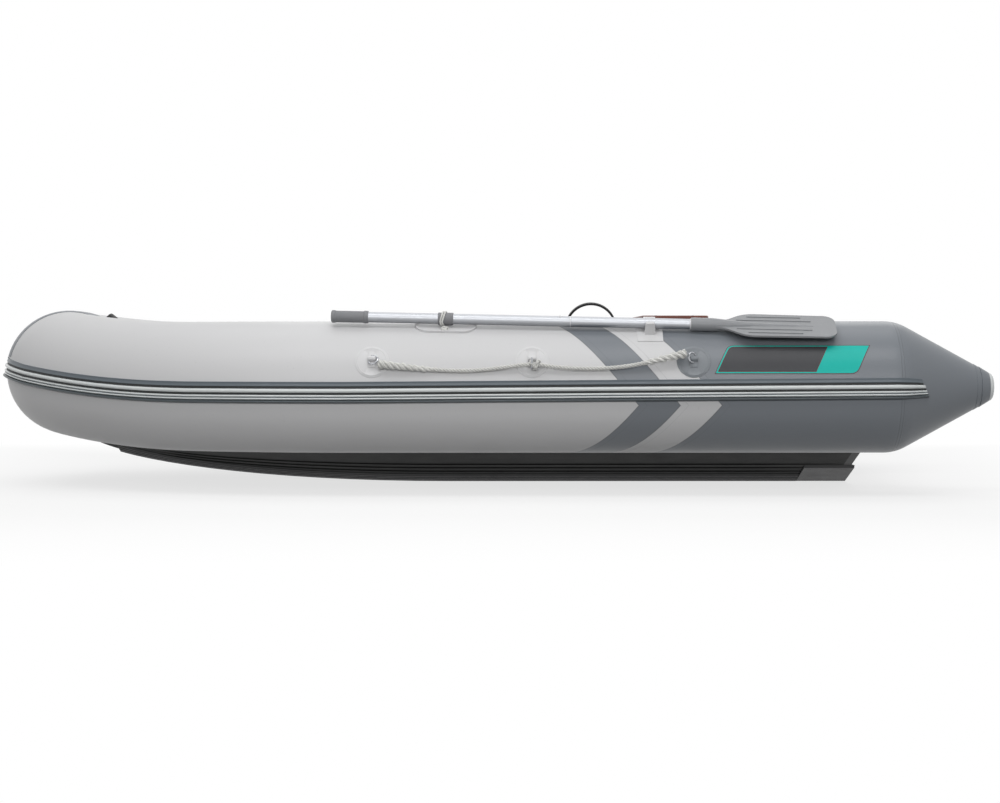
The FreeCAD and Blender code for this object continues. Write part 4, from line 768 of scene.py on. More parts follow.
def make_piece(name: str, mesh: Mesh, finishes: Sequence[Finish], slot: str, *replaces: str,
               body: Body = Body.HULL, sharp: float = 35.0) -> bpy.types.Object:
    """Turn a mesh into a piece of the boat and report it.

    Args:
        name: the piece's name.
        mesh: its geometry, freed here.
        finishes: its finishes, in the order of its material indices.
        slot: the name of a material slot; not used.
        replaces: nodes of the frame that it stands for.
        body: what it rides on.
        sharp: edges that turn by more degrees than this stay crisp.

    Returns:
        The new object.
    """
    data = bpy.data.meshes.new(name)
    mesh.to_mesh(data)
    mesh.free()
    data.shade_smooth()
    data.set_sharp_from_angle(angle=radians(sharp))
    for finish in finishes:
        data.materials.append(finish.material)
    piece = in_scene(name, data)
    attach(piece, body.value)
    if replaces:
        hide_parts(*replaces)
    LOG.info("%s: %d faces on %s", name, len(data.polygons), body.value)
    return piece


@dataclass
class Studio:
    """Camera, lamps, backdrop and floor, for a view straight onto the port side."""

    camera: Vector = Vector((-0.093, 7.0, 0.38))
    lens: float = 72.0
    tilt: float = radians(1.704)
    yaw: float = radians(0.143)
    roll: float = radians(-0.02)
    lit: Vector = Vector((0, 0, 0.2))
    soft_light: float = 0.30
    floor_z: float = -0.1085
    floor_size: float = 30.0
    floor_shades: Pair = (0.30, 0.86)
    fade: Pair = (1.4, 2.6)
    glow: Pair = (0.72, 1.0)

    def facing(self, ahead: Vector) -> Matrix:
        """A turn whose view is along a direction."""
        return ahead.normalized().to_track_quat("-Z", "Y").to_matrix().to_4x4()

    def make_camera(self) -> None:
        """Place the camera level with the tubes and make it the scene's."""
        data = bpy.data.cameras.new("camera")
        data.lens = self.lens
        data.sensor_width = 36.0
        data.clip_end = 100.0
        camera = in_scene("camera", data)
        turn = self.facing(Vector((tan(self.yaw), -1.0, -tan(self.tilt))))
        camera.matrix_world = Matrix.Translation(self.camera) @ turn @ Matrix.Rotation(self.roll, 4, "Z")
        bpy.context.scene.camera = camera

    def make_lamp(self, name: str, spot: Vector, size: Pair, power: float) -> None:
        """Hang a soft rectangular lamp that faces the boat's middle."""
        data = bpy.data.lights.new(name, "AREA")
        data.shape = "RECTANGLE"
        data.size, data.size_y = size
        data.energy = power
        in_scene(name, data).matrix_world = Matrix.Translation(spot) @ self.facing(self.lit - spot)

    def seen_share(self, graph: Graph) -> Socket:
        """1 for rays that come from the camera, a gloss or a clear piece."""
        rays = graph.add("ShaderNodeLightPath").outputs
        share = rays["Is Camera Ray"]
        for word in ("Is Glossy Ray", "Is Transmission Ray"):
            share = graph.math("MAXIMUM", share, rays[word])
        return share

    def make_world(self) -> None:
        """A white backdrop that lights the boat only softly."""
        world = bpy.data.worlds.new("studio")
        bpy.context.scene.world = world
        graph = Graph(world)
        soft = graph.tree.nodes["Background"]
        graph.feed(soft.inputs["Color"], WHITE)
        graph.feed(soft.inputs["Strength"], self.soft_light)
        white = graph.add("ShaderNodeBackground", {"Color": WHITE, "Strength": 1.0})
        graph.choose(self.seen_share(graph), soft, white, "World Output")

    def make_floor(self) -> None:
        """A pale floor under the keel, which keeps the boat's shadow."""
        mesh = bmesh.new()
        bmesh.ops.create_grid(mesh, x_segments=2, y_segments=2, size=self.floor_size)
        bmesh.ops.translate(mesh, vec=(0, 0, self.floor_z), verts=mesh.verts)
        data = bpy.data.meshes.new("floor")
        mesh.to_mesh(data)
        mesh.free()
        graph = Graph(bpy.data.materials.new("studio_floor"))
        seen = self.seen_share(graph)
        x, y, _ = graph.axes()
        away = graph.math("MAXIMUM", graph.math("ABSOLUTE", x), graph.math("ABSOLUTE", y))
        limits = dict(zip(("From Min", "From Max", "To Min", "To Max"), self.fade + self.glow))
        fade = graph.add("ShaderNodeMapRange", {"Value": away, **limits}, clamp=True)
        shades = [(shade, shade, shade) for shade in self.floor_shades]
        graph.finish(graph.mix(seen, *shades), 0.9, specular=0.0)
        glow = graph.add("ShaderNodeEmission", {"Color": WHITE, "Strength": 1.0})
        graph.choose(graph.times(seen, fade.outputs[0]), graph.tree.nodes["Principled BSDF"], glow,
                     "Material Output")
        data.materials.append(graph.owner)
        in_scene("floor", data)

    def build(self) -> None:
        """Set up the whole studio."""
        bpy.context.scene.view_settings.view_transform = "Standard"
        self.make_camera()
        for name, spot, size, power in (("key", (0.3, 3.4, 5.2), (7.0, 2.4), 160.0),
                                        ("fill", (0.0, 6.2, 1.9), (7.0, 1.6), 125.0),
                                        ("top", (0.0, -1.0, 5.6), (6.0, 3.0), 70.0),
                                        ("back", (-1.0, -5.0, 3.5), (5.0, 2.5), 35.0)):
            self.make_lamp(name, Vector(spot), size, power)
        self.make_world()
        self.make_floor()
        LOG.info("studio ready")


@dataclass
class Lifelines:
    """White rope on each side, spliced to rings on three patches."""

    rope_radius: float = 0.0065
    strand_radius: float = 0.0036
    strand_offset: float = 0.0034
    lay: float = 0.032
    splice_lay: float = 0.058
    spacing: float = 0.003
    splice_radius: Pair = (0.0078, 0.0044)
    splice_offset: Pair = (0.0066, 0.0036)
    lumps: tuple[Triple, ...] = ((0.0010, 190, 0), (0.0006, 410, 1))
    hitch_turns: tuple[Pair, ...] = ((-0.009, 0.5), (0.004, -0.4))
    hitch_reach: Pair = (0.0125, 0.0095)
    hitch_strand: Pair = (0.0030, 0.0027)
    hitch_lay: float = 0.03
    fore_splice: tuple[int, int] = (1, 58)
    aft_splice: tuple[int, int] = (46, 1)
    patch_lean: float = radians(66.4)
    patch_xs: Triple = (0.320, -0.177, -0.678)
    dark_x: float = -0.6
    route: tuple[Triple, ...] = (
        (0.301, 0.8225, 0.3125), (0.214, 0.822, 0.3026), (0.137, 0.8169, 0.2946), (0.060, 0.8148, 0.2904),
        (-0.008, 0.815, 0.292), (-0.0775, 0.8172, 0.2995), (-0.1425, 0.821, 0.3088), (-0.190, 0.822, 0.312),
        (-0.240, 0.8205, 0.3026), (-0.325, 0.818, 0.297), (-0.4026, 0.818, 0.2978), (-0.4856, 0.820, 0.306),
        (-0.5686, 0.822, 0.3255), (-0.657, 0.8195, 0.3455))

    def line(self, side: Side) -> list[Vector]:
        """Points along the rope's smooth line, read from its spline."""
        data = bpy.data.curves.new("lifeline_route", "CURVE")
        data.dimensions = "3D"
        spline = data.splines.new("NURBS")
        spline.points.add(len(self.route) - 1)
        for point, (x, y, z) in zip(spline.points, self.route):
            point.co = (x, side.value * y, z, 1.0)
        spline.order_u = 3
        spline.use_endpoint_u = True
        spline.resolution_u = 24
        holder = bpy.data.objects.new("lifeline_route", data)
        mesh = bpy.data.meshes.new_from_object(holder)
        points = [vert.co.copy() for vert in mesh.vertices]
        bpy.data.objects.remove(holder)
        bpy.data.meshes.remove(mesh)
        return points

    def strands(self, points: Sequence[Vector], strand: Callable[[float], float],
                offset: Callable[[float], float], lay: float, sides: int = 8) -> Mesh:
        """Three strands laid round a line.

        Args:
            points: the line.
            strand: radius of a strand at a distance along the line.
            offset: distance of the strands' middles from the line, likewise.
            lay: length of one turn.
            sides: sides of each strand.

        Returns:
            The strands' mesh.
        """
        parts = []
        for index in range(3):
            rings = []
            for place, reach in zip(path_places(points), reaches(points)):
                turn = Matrix.Rotation(tau * (reach / lay + index / 3), 4, "Z")
                middle = Matrix.Translation((offset(reach), 0, 0))
                rings.append(ring_at(place @ turn @ middle, circle_outline(strand(reach), sides)))
            parts.append(skin(rings))
        return joined(parts)

    def even(self, points: Sequence[Vector], step: float) -> list[Vector]:
        """Points at even steps along a line."""
        spots = [points[0].copy()]
        spare = 0.0
        for before, after in zip(points, points[1:]):
            run = (after - before).length
            place = step - spare
            while place <= run:
                spots.append(before.lerp(after, place / run))
                place += step
            spare = run - (place - step)
        return spots

    def build_rope(self, side: Side) -> None:
        """The rope, its two splices and the hitch at the middle ring."""
        line = self.even(self.line(side), self.spacing)
        mesh = self.strands(line, lambda _: self.strand_radius, lambda _: self.strand_offset, self.lay)
        rope = make_piece(f"lifeline_{side.word}_rope", mesh, [Finish.ROPE], "rope", f"lifeline_{side.word}",
                          sharp=80)
        start, end = self.fore_splice
        before, after = self.aft_splice
        extras = [self.build_splice(side, "fore", line[start:end]),
                  self.build_splice(side, "aft", line[-before:-after][::-1]), self.build_hitch(side, line)]
        length = reaches(line)[-1]
        LOG.info("lifeline %s: %.3f m", side.word, length)

    def build_splice(self, side: Side, end: str, line: Sequence[Vector]) -> bpy.types.Object:
        """The thick spliced part of the rope next to a ring."""
        total = reaches(line)[-1]

        def tapered(ends: Pair, reach: float) -> float:
            """A value that runs from its first end at the ring to its last along the rope."""
            return ends[0] + (ends[1] - ends[0]) * reach / total

        def swell(reach: float) -> float:
            """Radius of a strand, lumpy where the tucks lie."""
            lump = sum(size * sin(reach * rate + start) for size, rate, start in self.lumps)
            return tapered(self.splice_radius, reach) + lump

        mesh = self.strands(line, swell, lambda reach: tapered(self.splice_offset, reach), self.splice_lay,
                            10)
        return make_piece(f"splice_{end}_{side.word}", mesh, [Finish.ROPE], "rope", sharp=80)

    def build_hitch(self, side: Side, line: Sequence[Vector]) -> bpy.types.Object:
        """Two turns of the rope's tail round the middle ring."""
        near = min(line, key=lambda point: abs(point.x - self.patch_xs[1] + 0.006))
        across = Y_AXIS * side.value
        parts = []
        high, wide = self.hitch_reach
        radius, offset = self.hitch_strand
        for shift, lean in self.hitch_turns:
            centre = near + Vector((shift, 0, -0.001))
            ahead = Vector((cos(lean), 0, sin(lean)))
            up = Vector((-sin(lean), 0, cos(lean)))
            loop = [centre + up * (high * sin(angle)) + across * (wide * cos(angle))
                    + ahead * 0.002 * sin(2 * angle) for angle in span(0.0, tau, 24)]
            parts.append(self.strands(loop, lambda _: radius, lambda _: offset, self.hitch_lay))
        return make_piece(f"hitch_{side.word}", joined(parts), [Finish.ROPE], "rope", sharp=80)

    def patch(self, x: float, side: Side) -> Mesh:
        """A round welded patch with a raised rim near its edge."""
        profile = ((0.0530, 0.0002), (0.0528, 0.0014), (0.0515, 0.0020), (0.0470, 0.0021), (0.0462, 0.0027),
                   (0.0446, 0.0027), (0.0438, 0.0021), (0.0250, 0.0023), (0.0080, 0.0024))
        rings = [ring_at(Matrix.Translation((0, 0, height)), circle_outline(radius, 56))
                 for radius, height in profile]
        return wrapped(skin(rings), x, self.patch_lean, side)

    def tab(self, x: float, side: Side) -> Mesh:
        """The webbing that holds a ring to its patch, bent up over the ring in the middle."""
        bend = [radians(205 - 25 * step) for step in range(9)]
        line = [(-0.030, 0.0035), (-0.019, 0.0036), (-0.0125, 0.0046),
                *((-0.005 + 0.0060 * cos(angle), 0.0103 + 0.0060 * sin(angle)) for angle in bend),
                (0.0035, 0.0046), (0.010, 0.0036), (0.020, 0.0035)]
        places = path_places([Vector((0, y, z)) for y, z in line], X_AXIS)
        return wrapped(sweep(rounded_outline(0.024, 0.0022, 0.0009, 2), places), x, self.patch_lean, side)

    def build(self) -> None:
        """Both ropes, then the six patches and their webbing tabs."""
        for side in Side:
            self.build_rope(side)
        for word, finish, nodes in (("pale", Finish.PATCH, ["lifeline_patches"]),
                                    ("dark", Finish.PATCH_DARK, [])):
            spots = [(x, side) for side in Side for x in self.patch_xs
                     if (x < self.dark_x) == (word == "dark")]
            discs = joined(self.patch(*spot) for spot in spots)
            make_piece(f"lifeline_discs_{word}", discs, [finish], "grey_rubber", *nodes)
            tabs = joined(self.tab(*spot) for spot in spots)
            make_piece(f"lifeline_tabs_{word}", tabs, [finish], "grey_rubber")


@dataclass
class Tubes:
    """The air tubes: two sides, the bow and the two stern cones with their tapes and caps."""

    sides: int = 96
    side_steps: int = 26
    arc_length: float = 0.067
    tape_x: float = -1.594
    tape_width: float = 0.014
    tape_lift: float = 0.0008
    dome_x: float = -1.635

    def build(self) -> None:
        """Every tube, then the caps."""
        circle = circle_outline(LINES.tube_radius, self.sides)
        for side in Side:
            xs = span(LINES.cone_start, LINES.bow_start, self.side_steps)
            places = [LINES.side_place(x, side) for x in xs]
            make_piece(f"tube_{side.word}_skin", sweep(circle, places), [Finish.TUBES], "tube_fabric",
                       f"tube_{side.word}")
            self.build_cone(side)
        self.build_caps()
        places = [LINES.bow_place(turn) for turn in LINES.bow_turns(44, 40)]
        make_piece("tube_bow_skin", sweep(circle, places), [Finish.TUBES], "tube_fabric", "tube_bow")

    def ring(self, x: float, side: Side, lift: float = 0.0) -> list[Vector]:
        """The tube's section at x, at a height over its skin."""
        return ring_at(LINES.side_place(x, side), circle_outline(LINES.stern_radius(x) + lift, self.sides))

    def build_cone(self, side: Side) -> None:
        """A stern cone with its rounded shoulder, and the tape where its end meets the cap."""
        shoulder = LINES.cone_start - self.arc_length
        xs = span(LINES.cone_start, shoulder, 10) + span(shoulder, LINES.cone_end, 8)[1:]
        make_piece(f"cone_{side.word}_skin", skin([self.ring(x, side) for x in xs]), [Finish.TUBES],
                   "stern_fabric", f"cone_{side.word}")
        section = ((0.0, -0.5), (0.03, 1.0), (0.5, 1.15), (0.97, 1.0), (1.0, -0.5), (0.5, -1.0), (0.0, -0.5))
        tape = skin([self.ring(self.tape_x + self.tape_width * (0.5 - share), side, self.tape_lift * height)
                     for share, height in section], capped=False)
        bmesh.ops.remove_doubles(tape, verts=tape.verts, dist=MERGE)
        make_piece(f"cone_tape_{side.word}", faced(tape), [Finish.STERN], "stern_fabric")

    def build_caps(self) -> None:
        """The moulded caps on the cones: a grey collar, then a pale dome."""
        profile = [(0.0, 1.6040), (0.0632, 1.6040), (0.0650, 1.6050), (0.0640, 1.6075), (0.0480, 1.6340),
                   (0.0470, 1.6350), (0.0462, 1.6350), (0.0452, 1.6390), (0.0425, 1.6440), (0.0370, 1.6478),
                   (0.0280, 1.6493), (0.0130, 1.6499), (0.0, 1.6500)]
        parts = []
        for side in Side:
            centre = Vector((0, side.value * LINES.tube_y, LINES.tube_z))
            cap = turned(profile, Matrix.Translation(centre) @ Matrix.Rotation(-pi / 2, 4, "Y"), 72)
            for item in cap.faces:
                item.material_index = int(item.calc_center_median().x < self.dome_x)
            parts.append(cap)
        make_piece("cone_cap_domes", joined(parts), [Finish.STERN, Finish.BEAD], "rail_rubber", "cone_caps")


@dataclass
class RubRail:
    """The beaded rubber moulding round the outside of the tubes."""

    drop: float = 0.013
    rise: float = 0.034
    rise_start: float = radians(20)
    end_x: float = -1.402
    end_slant: float = 0.30
    stern_rise: float = 0.012
    band_half: float = 0.100
    band_cover: float = 0.0016
    band_lift: float = 0.0003
    band_thickness: float = 0.0012
    band_top: float = 0.035
    band_end: float = radians(150)

    def outline(self) -> tuple[list[Pair], list[int]]:
        """The rail's section as (lift, height) corners, from the top down, and each side's finish."""
        points, zones = [], []

        def run(corners: Sequence[Pair], zone: int) -> None:
            """Add corners that share a finish."""
            points.extend(corners)
            zones.extend([zone] * len(corners))

        def bead(top: float, bottom: float, lift: float) -> None:
            """Add a half-round bead between two heights."""
            middle, half = (top + bottom) / 2, (top - bottom) / 2
            # The pale finish 1 on each bead is partly the rail's grey rubber and partly a painted highlight
            # on the ridge.
            run([(0.0016 + (lift - 0.0016) * sin(angle), middle + half * cos(angle))
                 for angle in span(0.0, pi, 10)[:-1]], 1)

        run([(0.0002, 0.0340), (0.0026, 0.0338), (0.0036, 0.0330), (0.0036, 0.0314), (0.0029, 0.0304),
             (0.0027, 0.0255), (0.0029, 0.0235), (0.0036, 0.0222), (0.0036, 0.0206)], 0)
        # The near-black finish 2 laid in the grooves between the beads is painted shade.
        run([(0.0030, 0.0198), (0.0014, 0.0192), (0.0010, 0.0128)], 2)
        bead(0.0124, 0.0002, 0.0085)
        run([(0.0010, 0.0000), (0.0010, -0.0064)], 2)
        bead(-0.0066, -0.0128, 0.0086)
        run([(0.0062, -0.0130), (0.0060, -0.0148)], 0)
        bead(-0.0150, -0.0212, 0.0090)
        run([(0.0040, -0.0216), (0.0075, -0.0230), (0.0128, -0.0244), (0.0140, -0.0260), (0.0136, -0.0278),
             (0.0115, -0.0293), (0.0050, -0.0318), (0.0024, -0.0338), (0.0002, -0.0340)], 3)
        run([(0.0002, -0.0120), (0.0002, 0.0120)], 2)
        return points, zones

    def roll(self, turn: float) -> float:
        """Angle by which the rail's middle lies over the tube's middle."""
        port_turn = min(turn, pi - turn)
        along = max(0.0, (port_turn - self.rise_start) / (pi / 2 - self.rise_start))
        lift = self.rise * sin(along * pi / 2) ** 1.25
        return (lift - self.drop) / LINES.tube_radius

    def ring(self, corners: Sequence[Pair], place: Matrix, radius: float, slant: float = 0.0) -> list[Vector]:
        """The section at one place, laid on a tube of that radius."""
        spots = []
        for lift, height in corners:
            angle, reach = height / LINES.tube_radius, radius + lift
            spots.append(place @ Vector((reach * cos(angle), reach * sin(angle), slant * height)))
        return spots

    def build(self) -> None:
        """One moulding from stern to stern, then the band at the nose."""
        corners, zones = self.outline()
        xs = span(self.end_x, LINES.cone_start, 8)[:-1] + span(LINES.cone_start, LINES.bow_start, 12)

        def side_ring(x: float, side: Side) -> list[Vector]:
            """The section on a straight side, slanting at the rail's end."""
            slant = self.end_slant * side.value if x == self.end_x else 0.0
            aft = min(1.0, (LINES.bow_start - x) / LINES.straight)
            roll = self.roll(0) + self.stern_rise * aft / LINES.tube_radius
            return self.ring(corners, LINES.side_place(x, side, roll), LINES.stern_radius(x), slant)

        rings = [side_ring(x, Side.PORT) for x in xs]
        rings += [self.ring(corners, LINES.bow_place(turn, self.roll(turn)), LINES.tube_radius)
                  for turn in LINES.bow_turns(36, 32)[1:-1]]
        rings += [side_ring(x, Side.STARBOARD) for x in reversed(xs)]
        finishes = [Finish.FLANGE, Finish.BEAD, Finish.GROOVE, Finish.LIP]
        make_piece("rub_rail_moulding", skin(rings, zones), finishes, "rail_rubber", "rub_rail", sharp=50)
        self.build_band()

    def build_band(self) -> None:
        """The dark strip bonded round the nose, from the rail over the top to the inner side."""
        spread = asin(self.band_half / LINES.nose_radius)
        top = self.roll(pi / 2) + self.band_top / LINES.tube_radius
        angles = span(top, self.band_end, 28)
        rings = []
        for share in span(-1.0, 1.0, 24):
            reach = LINES.tube_radius + self.band_cover * (1 - abs(share) ** 12) + self.band_lift
            place = LINES.bow_place(pi / 2 + spread * share)
            rings.append(ring_at(place, [(reach * cos(angle), reach * sin(angle)) for angle in angles]))
        mesh = skin(rings, closed=False)
        bmesh.ops.solidify(mesh, geom=mesh.faces[:], thickness=-self.band_thickness)
        make_piece("nose_band_strip", faced(mesh), [Finish.STERN], "stern_fabric", "nose_band", sharp=60)


@dataclass
class SoftBottom:
    """The soft V bottom, drawn taut from the keel to the tubes, with strakes along it."""

    front_x: float = 1.368
    stern_x: float = -1.245
    deck_z: float = 0.0634
    keel_round: float = 0.0012
    strake_shares: Triple = (0.20, 0.285, 0.37)
    strake_width: float = 0.0065
    strake_height: float = 0.0034

    def stations(self, end: float, count: int) -> list[float]:
        """Stations from the stern forward, closer together towards the bow."""
        start = LINES.keel_rise_start
        rising = [start + (end - start) * (1 - (1 - share) ** 1.6) for share in shares(count)]
        return span(self.stern_x, start, 10)[:-1] + rising

    def ring(self, x: float) -> list[Vector]:
        """The bottom's section: rounded at the keel, slightly hollow up to the tubes."""
        edge_y, edge_z = LINES.bottom_edge(x)
        keel = LINES.keel_height(x)
        top = max(self.deck_z, edge_z + 0.0006)
        half = [(edge_y * share, keel + (edge_z - keel) * share + self.keel_round * exp(-share * 40))
                for share in (0.0, 0.01, 0.025, 0.06, 0.15, 0.3, 0.5, 0.7, 0.85, 1.0)]
        half += [(edge_y, (edge_z + top) / 2), (edge_y, top)]
        return [Vector((x, y, z)) for y, z in half] + [Vector((x, -y, z)) for y, z in reversed(half[1:])]

    def strake(self, share: float, side: Side, end: float) -> Mesh:
        """A thin raised rib at a share of the way from the keel to the tube."""
        section = ((-1.0, -0.4), (-0.75, 0.5), (-0.3, 1.0), (0.3, 1.0), (0.75, 0.5), (1.0, -0.4))
        rings = []
        for x in self.stations(end, 26):
            edge_y, edge_z = LINES.bottom_edge(x)
            keel = LINES.keel_height(x)
            slope = atan2(edge_z - keel, edge_y)
            fade = min(1.0, (x - self.stern_x) / 0.25 + 0.15, (end - x) / 0.15 + 0.1)
            middle = Vector((x, side.value * edge_y * share, keel + (edge_z - keel) * share))
            along = Vector((0, side.value * cos(slope), sin(slope)))
            down = Vector((0, side.value * sin(slope), -cos(slope)))
            rings.append([middle + along * (u * self.strake_width)
                          + down * (v * self.strake_height * fade - 0.0002) for u, v in section])
        return skin(rings)

    def build(self) -> None:
        """The skin and its strakes, which end further aft the higher they lie."""
        rings = [self.ring(x) for x in self.stations(self.front_x, 30)]
        make_piece("bottom_skin", skin(rings), [Finish.BOTTOM], "bottom_fabric", "bottom_hull", sharp=30)
        strakes = [self.strake(share, side, 1.22 - share * 0.25)
                   for side in Side for share in self.strake_shares]
        make_piece("bottom_strakes", joined(strakes), [Finish.BOTTOM], "bottom_fabric")


@dataclass
class Badges:
    """A blank badge on each side tube: a slanted plate with a bright frame and a bright aft block."""

    top_lean: float = radians(50.6)
    height: float = 0.099
    fore_top: float = -0.788
    aft_top: float = -1.229
    slant: float = 0.046
    block_x: float = -1.100
    corner: float = 0.020
    line: float = 0.0018
    rim: float = 0.0042
    lift: float = 0.0012
    thickness: float = 0.0008

    def outline(self) -> list[Vector]:
        """The plate's outline, with two round corners: Y runs from its top edge down the tube."""
        fore, aft = self.fore_top, self.aft_top
        corners = [Vector(spot) for spot in ((fore, 0, 0), (aft, 0, 0), (aft + self.slant, self.height, 0),
                                             (fore + self.slant, self.height, 0))]
        points = []
        for index, corner in enumerate(corners):
            if index % 2:
                points.append(corner)
                continue
            before, after = corners[index - 1], corners[index + 1]
            enter = corner + (before - corner).normalized() * self.corner
            leave = corner + (after - corner).normalized() * self.corner
            points += [enter * (1 - share) ** 2 + corner * (2 * share * (1 - share)) + leave * share ** 2
                       for share in shares(6)]
        return points

    def cut(self, mesh: Mesh, spot: Vector, normal: Vector) -> None:
        """Cut every face along a plane."""
        bmesh.ops.bisect_plane(mesh, geom=mesh.faces[:] + mesh.edges[:] + mesh.verts[:], plane_co=spot,
                               plane_no=normal)

    def plate(self, side: Side) -> Mesh:
        """The plate, cut into its frame, lines, field and block, and bent over the tube."""
        bright, field, keyline, inner_line, block_line = range(5)
        mesh = bmesh.new()
        face = bmesh.ops.contextual_create(mesh, geom=dots(mesh, self.outline()))["faces"][0]
        for width, zone in ((self.line, keyline), (self.rim, bright), (self.line, inner_line)):
            fresh = bmesh.ops.inset_region(mesh, faces=[face], thickness=width, use_even_offset=True,
                                           use_boundary=True)["faces"]
            for item in fresh:
                item.material_index = zone
        face.material_index = field
        start = Vector((self.block_x, 0, 0))
        across = Vector((self.height, -self.slant, 0)).normalized()
        for shift, zone in ((self.line, block_line), (0.0, bright)):
            self.cut(mesh, start + across * shift, across)
            for item in mesh.faces:
                aft = (item.calc_center_median() - start).dot(across) < shift
                if aft and item.material_index in (field, inner_line, block_line):
                    item.material_index = zone
        for item in mesh.faces:
            item.material_index = min(item.material_index, keyline)
        for share in shares(12)[1:-1]:
            self.cut(mesh, Vector((0, self.height * share, 0)), Y_AXIS)
        for vert in mesh.verts:
            vert.co.z = self.lift
        if sum(item.normal.z for item in faced(mesh).faces) < 0:
            bmesh.ops.reverse_faces(mesh, faces=mesh.faces)
        mesh.normal_update()
        bmesh.ops.solidify(mesh, geom=mesh.faces[:], thickness=self.thickness)
        return wrapped(mesh, 0.0, self.top_lean, side)

    def build(self) -> None:
        """Both badges."""
        for side in Side:
            make_piece(f"badge_{side.word}", self.plate(side), [Finish.TEAL, Finish.BADGE, Finish.KEYLINE],
                       "stern_fabric")


@dataclass
class Handles:
    """Webbing carry handles on the side tubes and a grab strap at the nose."""

    x: float = -0.417
    lean: float = radians(12)
    span: float = 0.185
    height: float = 0.084
    width: float = 0.024
    strap: float = 0.008
    grab_lean: float = radians(38)
    grab_lift: float = 0.0024

    def pads(self, side: Side) -> Mesh:
        """The two rounded pads that the strap's ends go into, with a stitched line round each."""
        section = ((1.0, 0.0002), (0.99, 0.0022), (0.95, 0.0030), (0.86, 0.0030), (0.84, 0.0024),
                   (0.80, 0.0024), (0.78, 0.0031), (0.10, 0.0032))
        outline = rounded_outline(0.084, 0.040, 0.019, 8)
        parts = []
        for sign in (-1, 1):
            rings = [[Vector((sign * self.span / 2 + u * scale, v * scale, lift)) for u, v in outline]
                     for scale, lift in section]
            parts.append(wrapped(skin(rings), self.x, -self.lean, side))
        return joined(parts)

    def standing(self) -> Mesh:
        """The starboard strap, which stands up as an arch."""
        half = self.span / 2
        radius = (half ** 2 + self.height ** 2) / (2 * self.height)
        drop = self.height - radius
        spot = LINES.on_tube(self.x, -self.lean, 0.0, Side.STARBOARD)
        up = (spot - Vector((self.x, -LINES.tube_y, LINES.tube_z))).normalized()
        end = atan2(half, drop)
        points = [spot + X_AXIS * (radius * sin(angle)) + up * (drop + radius * cos(angle))
                  for angle in span(-end, end, 32)]
        across = Vector((0, cos(self.lean), -sin(self.lean)))
        return sweep(rounded_outline(self.width, self.strap, 0.0032), path_places(points, across))

    def lying(self) -> Mesh:
        """The port strap, flopped inboard over the tube."""
        half = self.span / 2 - self.strap
        points = [Vector((half * cos(angle), -half * sin(angle), 0.0065)) for angle in span(0.0, pi, 32)]
        mesh = sweep(rounded_outline(0.007, 0.020, 0.003), path_places(points))
        return wrapped(mesh, self.x, -self.lean, Side.PORT)

    def grab(self) -> Mesh:
        """The strap at the nose, on the frame's own places."""
        low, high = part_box("bow_handle")
        centre = LINES.bow_point(pi / 2)
        outward = Vector((-sin(self.grab_lean), 0, cos(self.grab_lean)))
        half = (high.y - low.y) / 2
        rise = [(0.0, 0.0340), (0.2, 0.0335), (0.45, 0.031), (0.62, 0.022), (0.74, 0.0075), (0.9, 0.004),
                (1.0, 0.002)]
        points = []
        for y, lift in [(-y, lift) for y, lift in reversed(rise[1:])] + rise:
            drop = (half * y) ** 2 / (2 * (LINES.nose_radius + LINES.tube_radius)) * 1.3
            reach = LINES.tube_radius + self.grab_lift + lift - drop
            points.append(centre + Y_AXIS * (half * y) + outward * reach)
        return sweep(rounded_outline(0.026, 0.0048, 0.002, 3), path_places(points, Y_AXIS.cross(outward)))

    def build(self) -> None:
        """Every handle and its pads."""
        make_piece("handle_pads", joined(self.pads(side) for side in Side), [Finish.BLACK], "webbing",
                   "carry_handles")
        make_piece("handle_strap_starboard", self.standing(), [Finish.WEBBING], "webbing")
        make_piece("handle_strap_port", self.lying(), [Finish.WEBBING], "webbing")
        make_piece("grab_strap", self.grab(), [Finish.WEBBING], "webbing", "bow_handle")


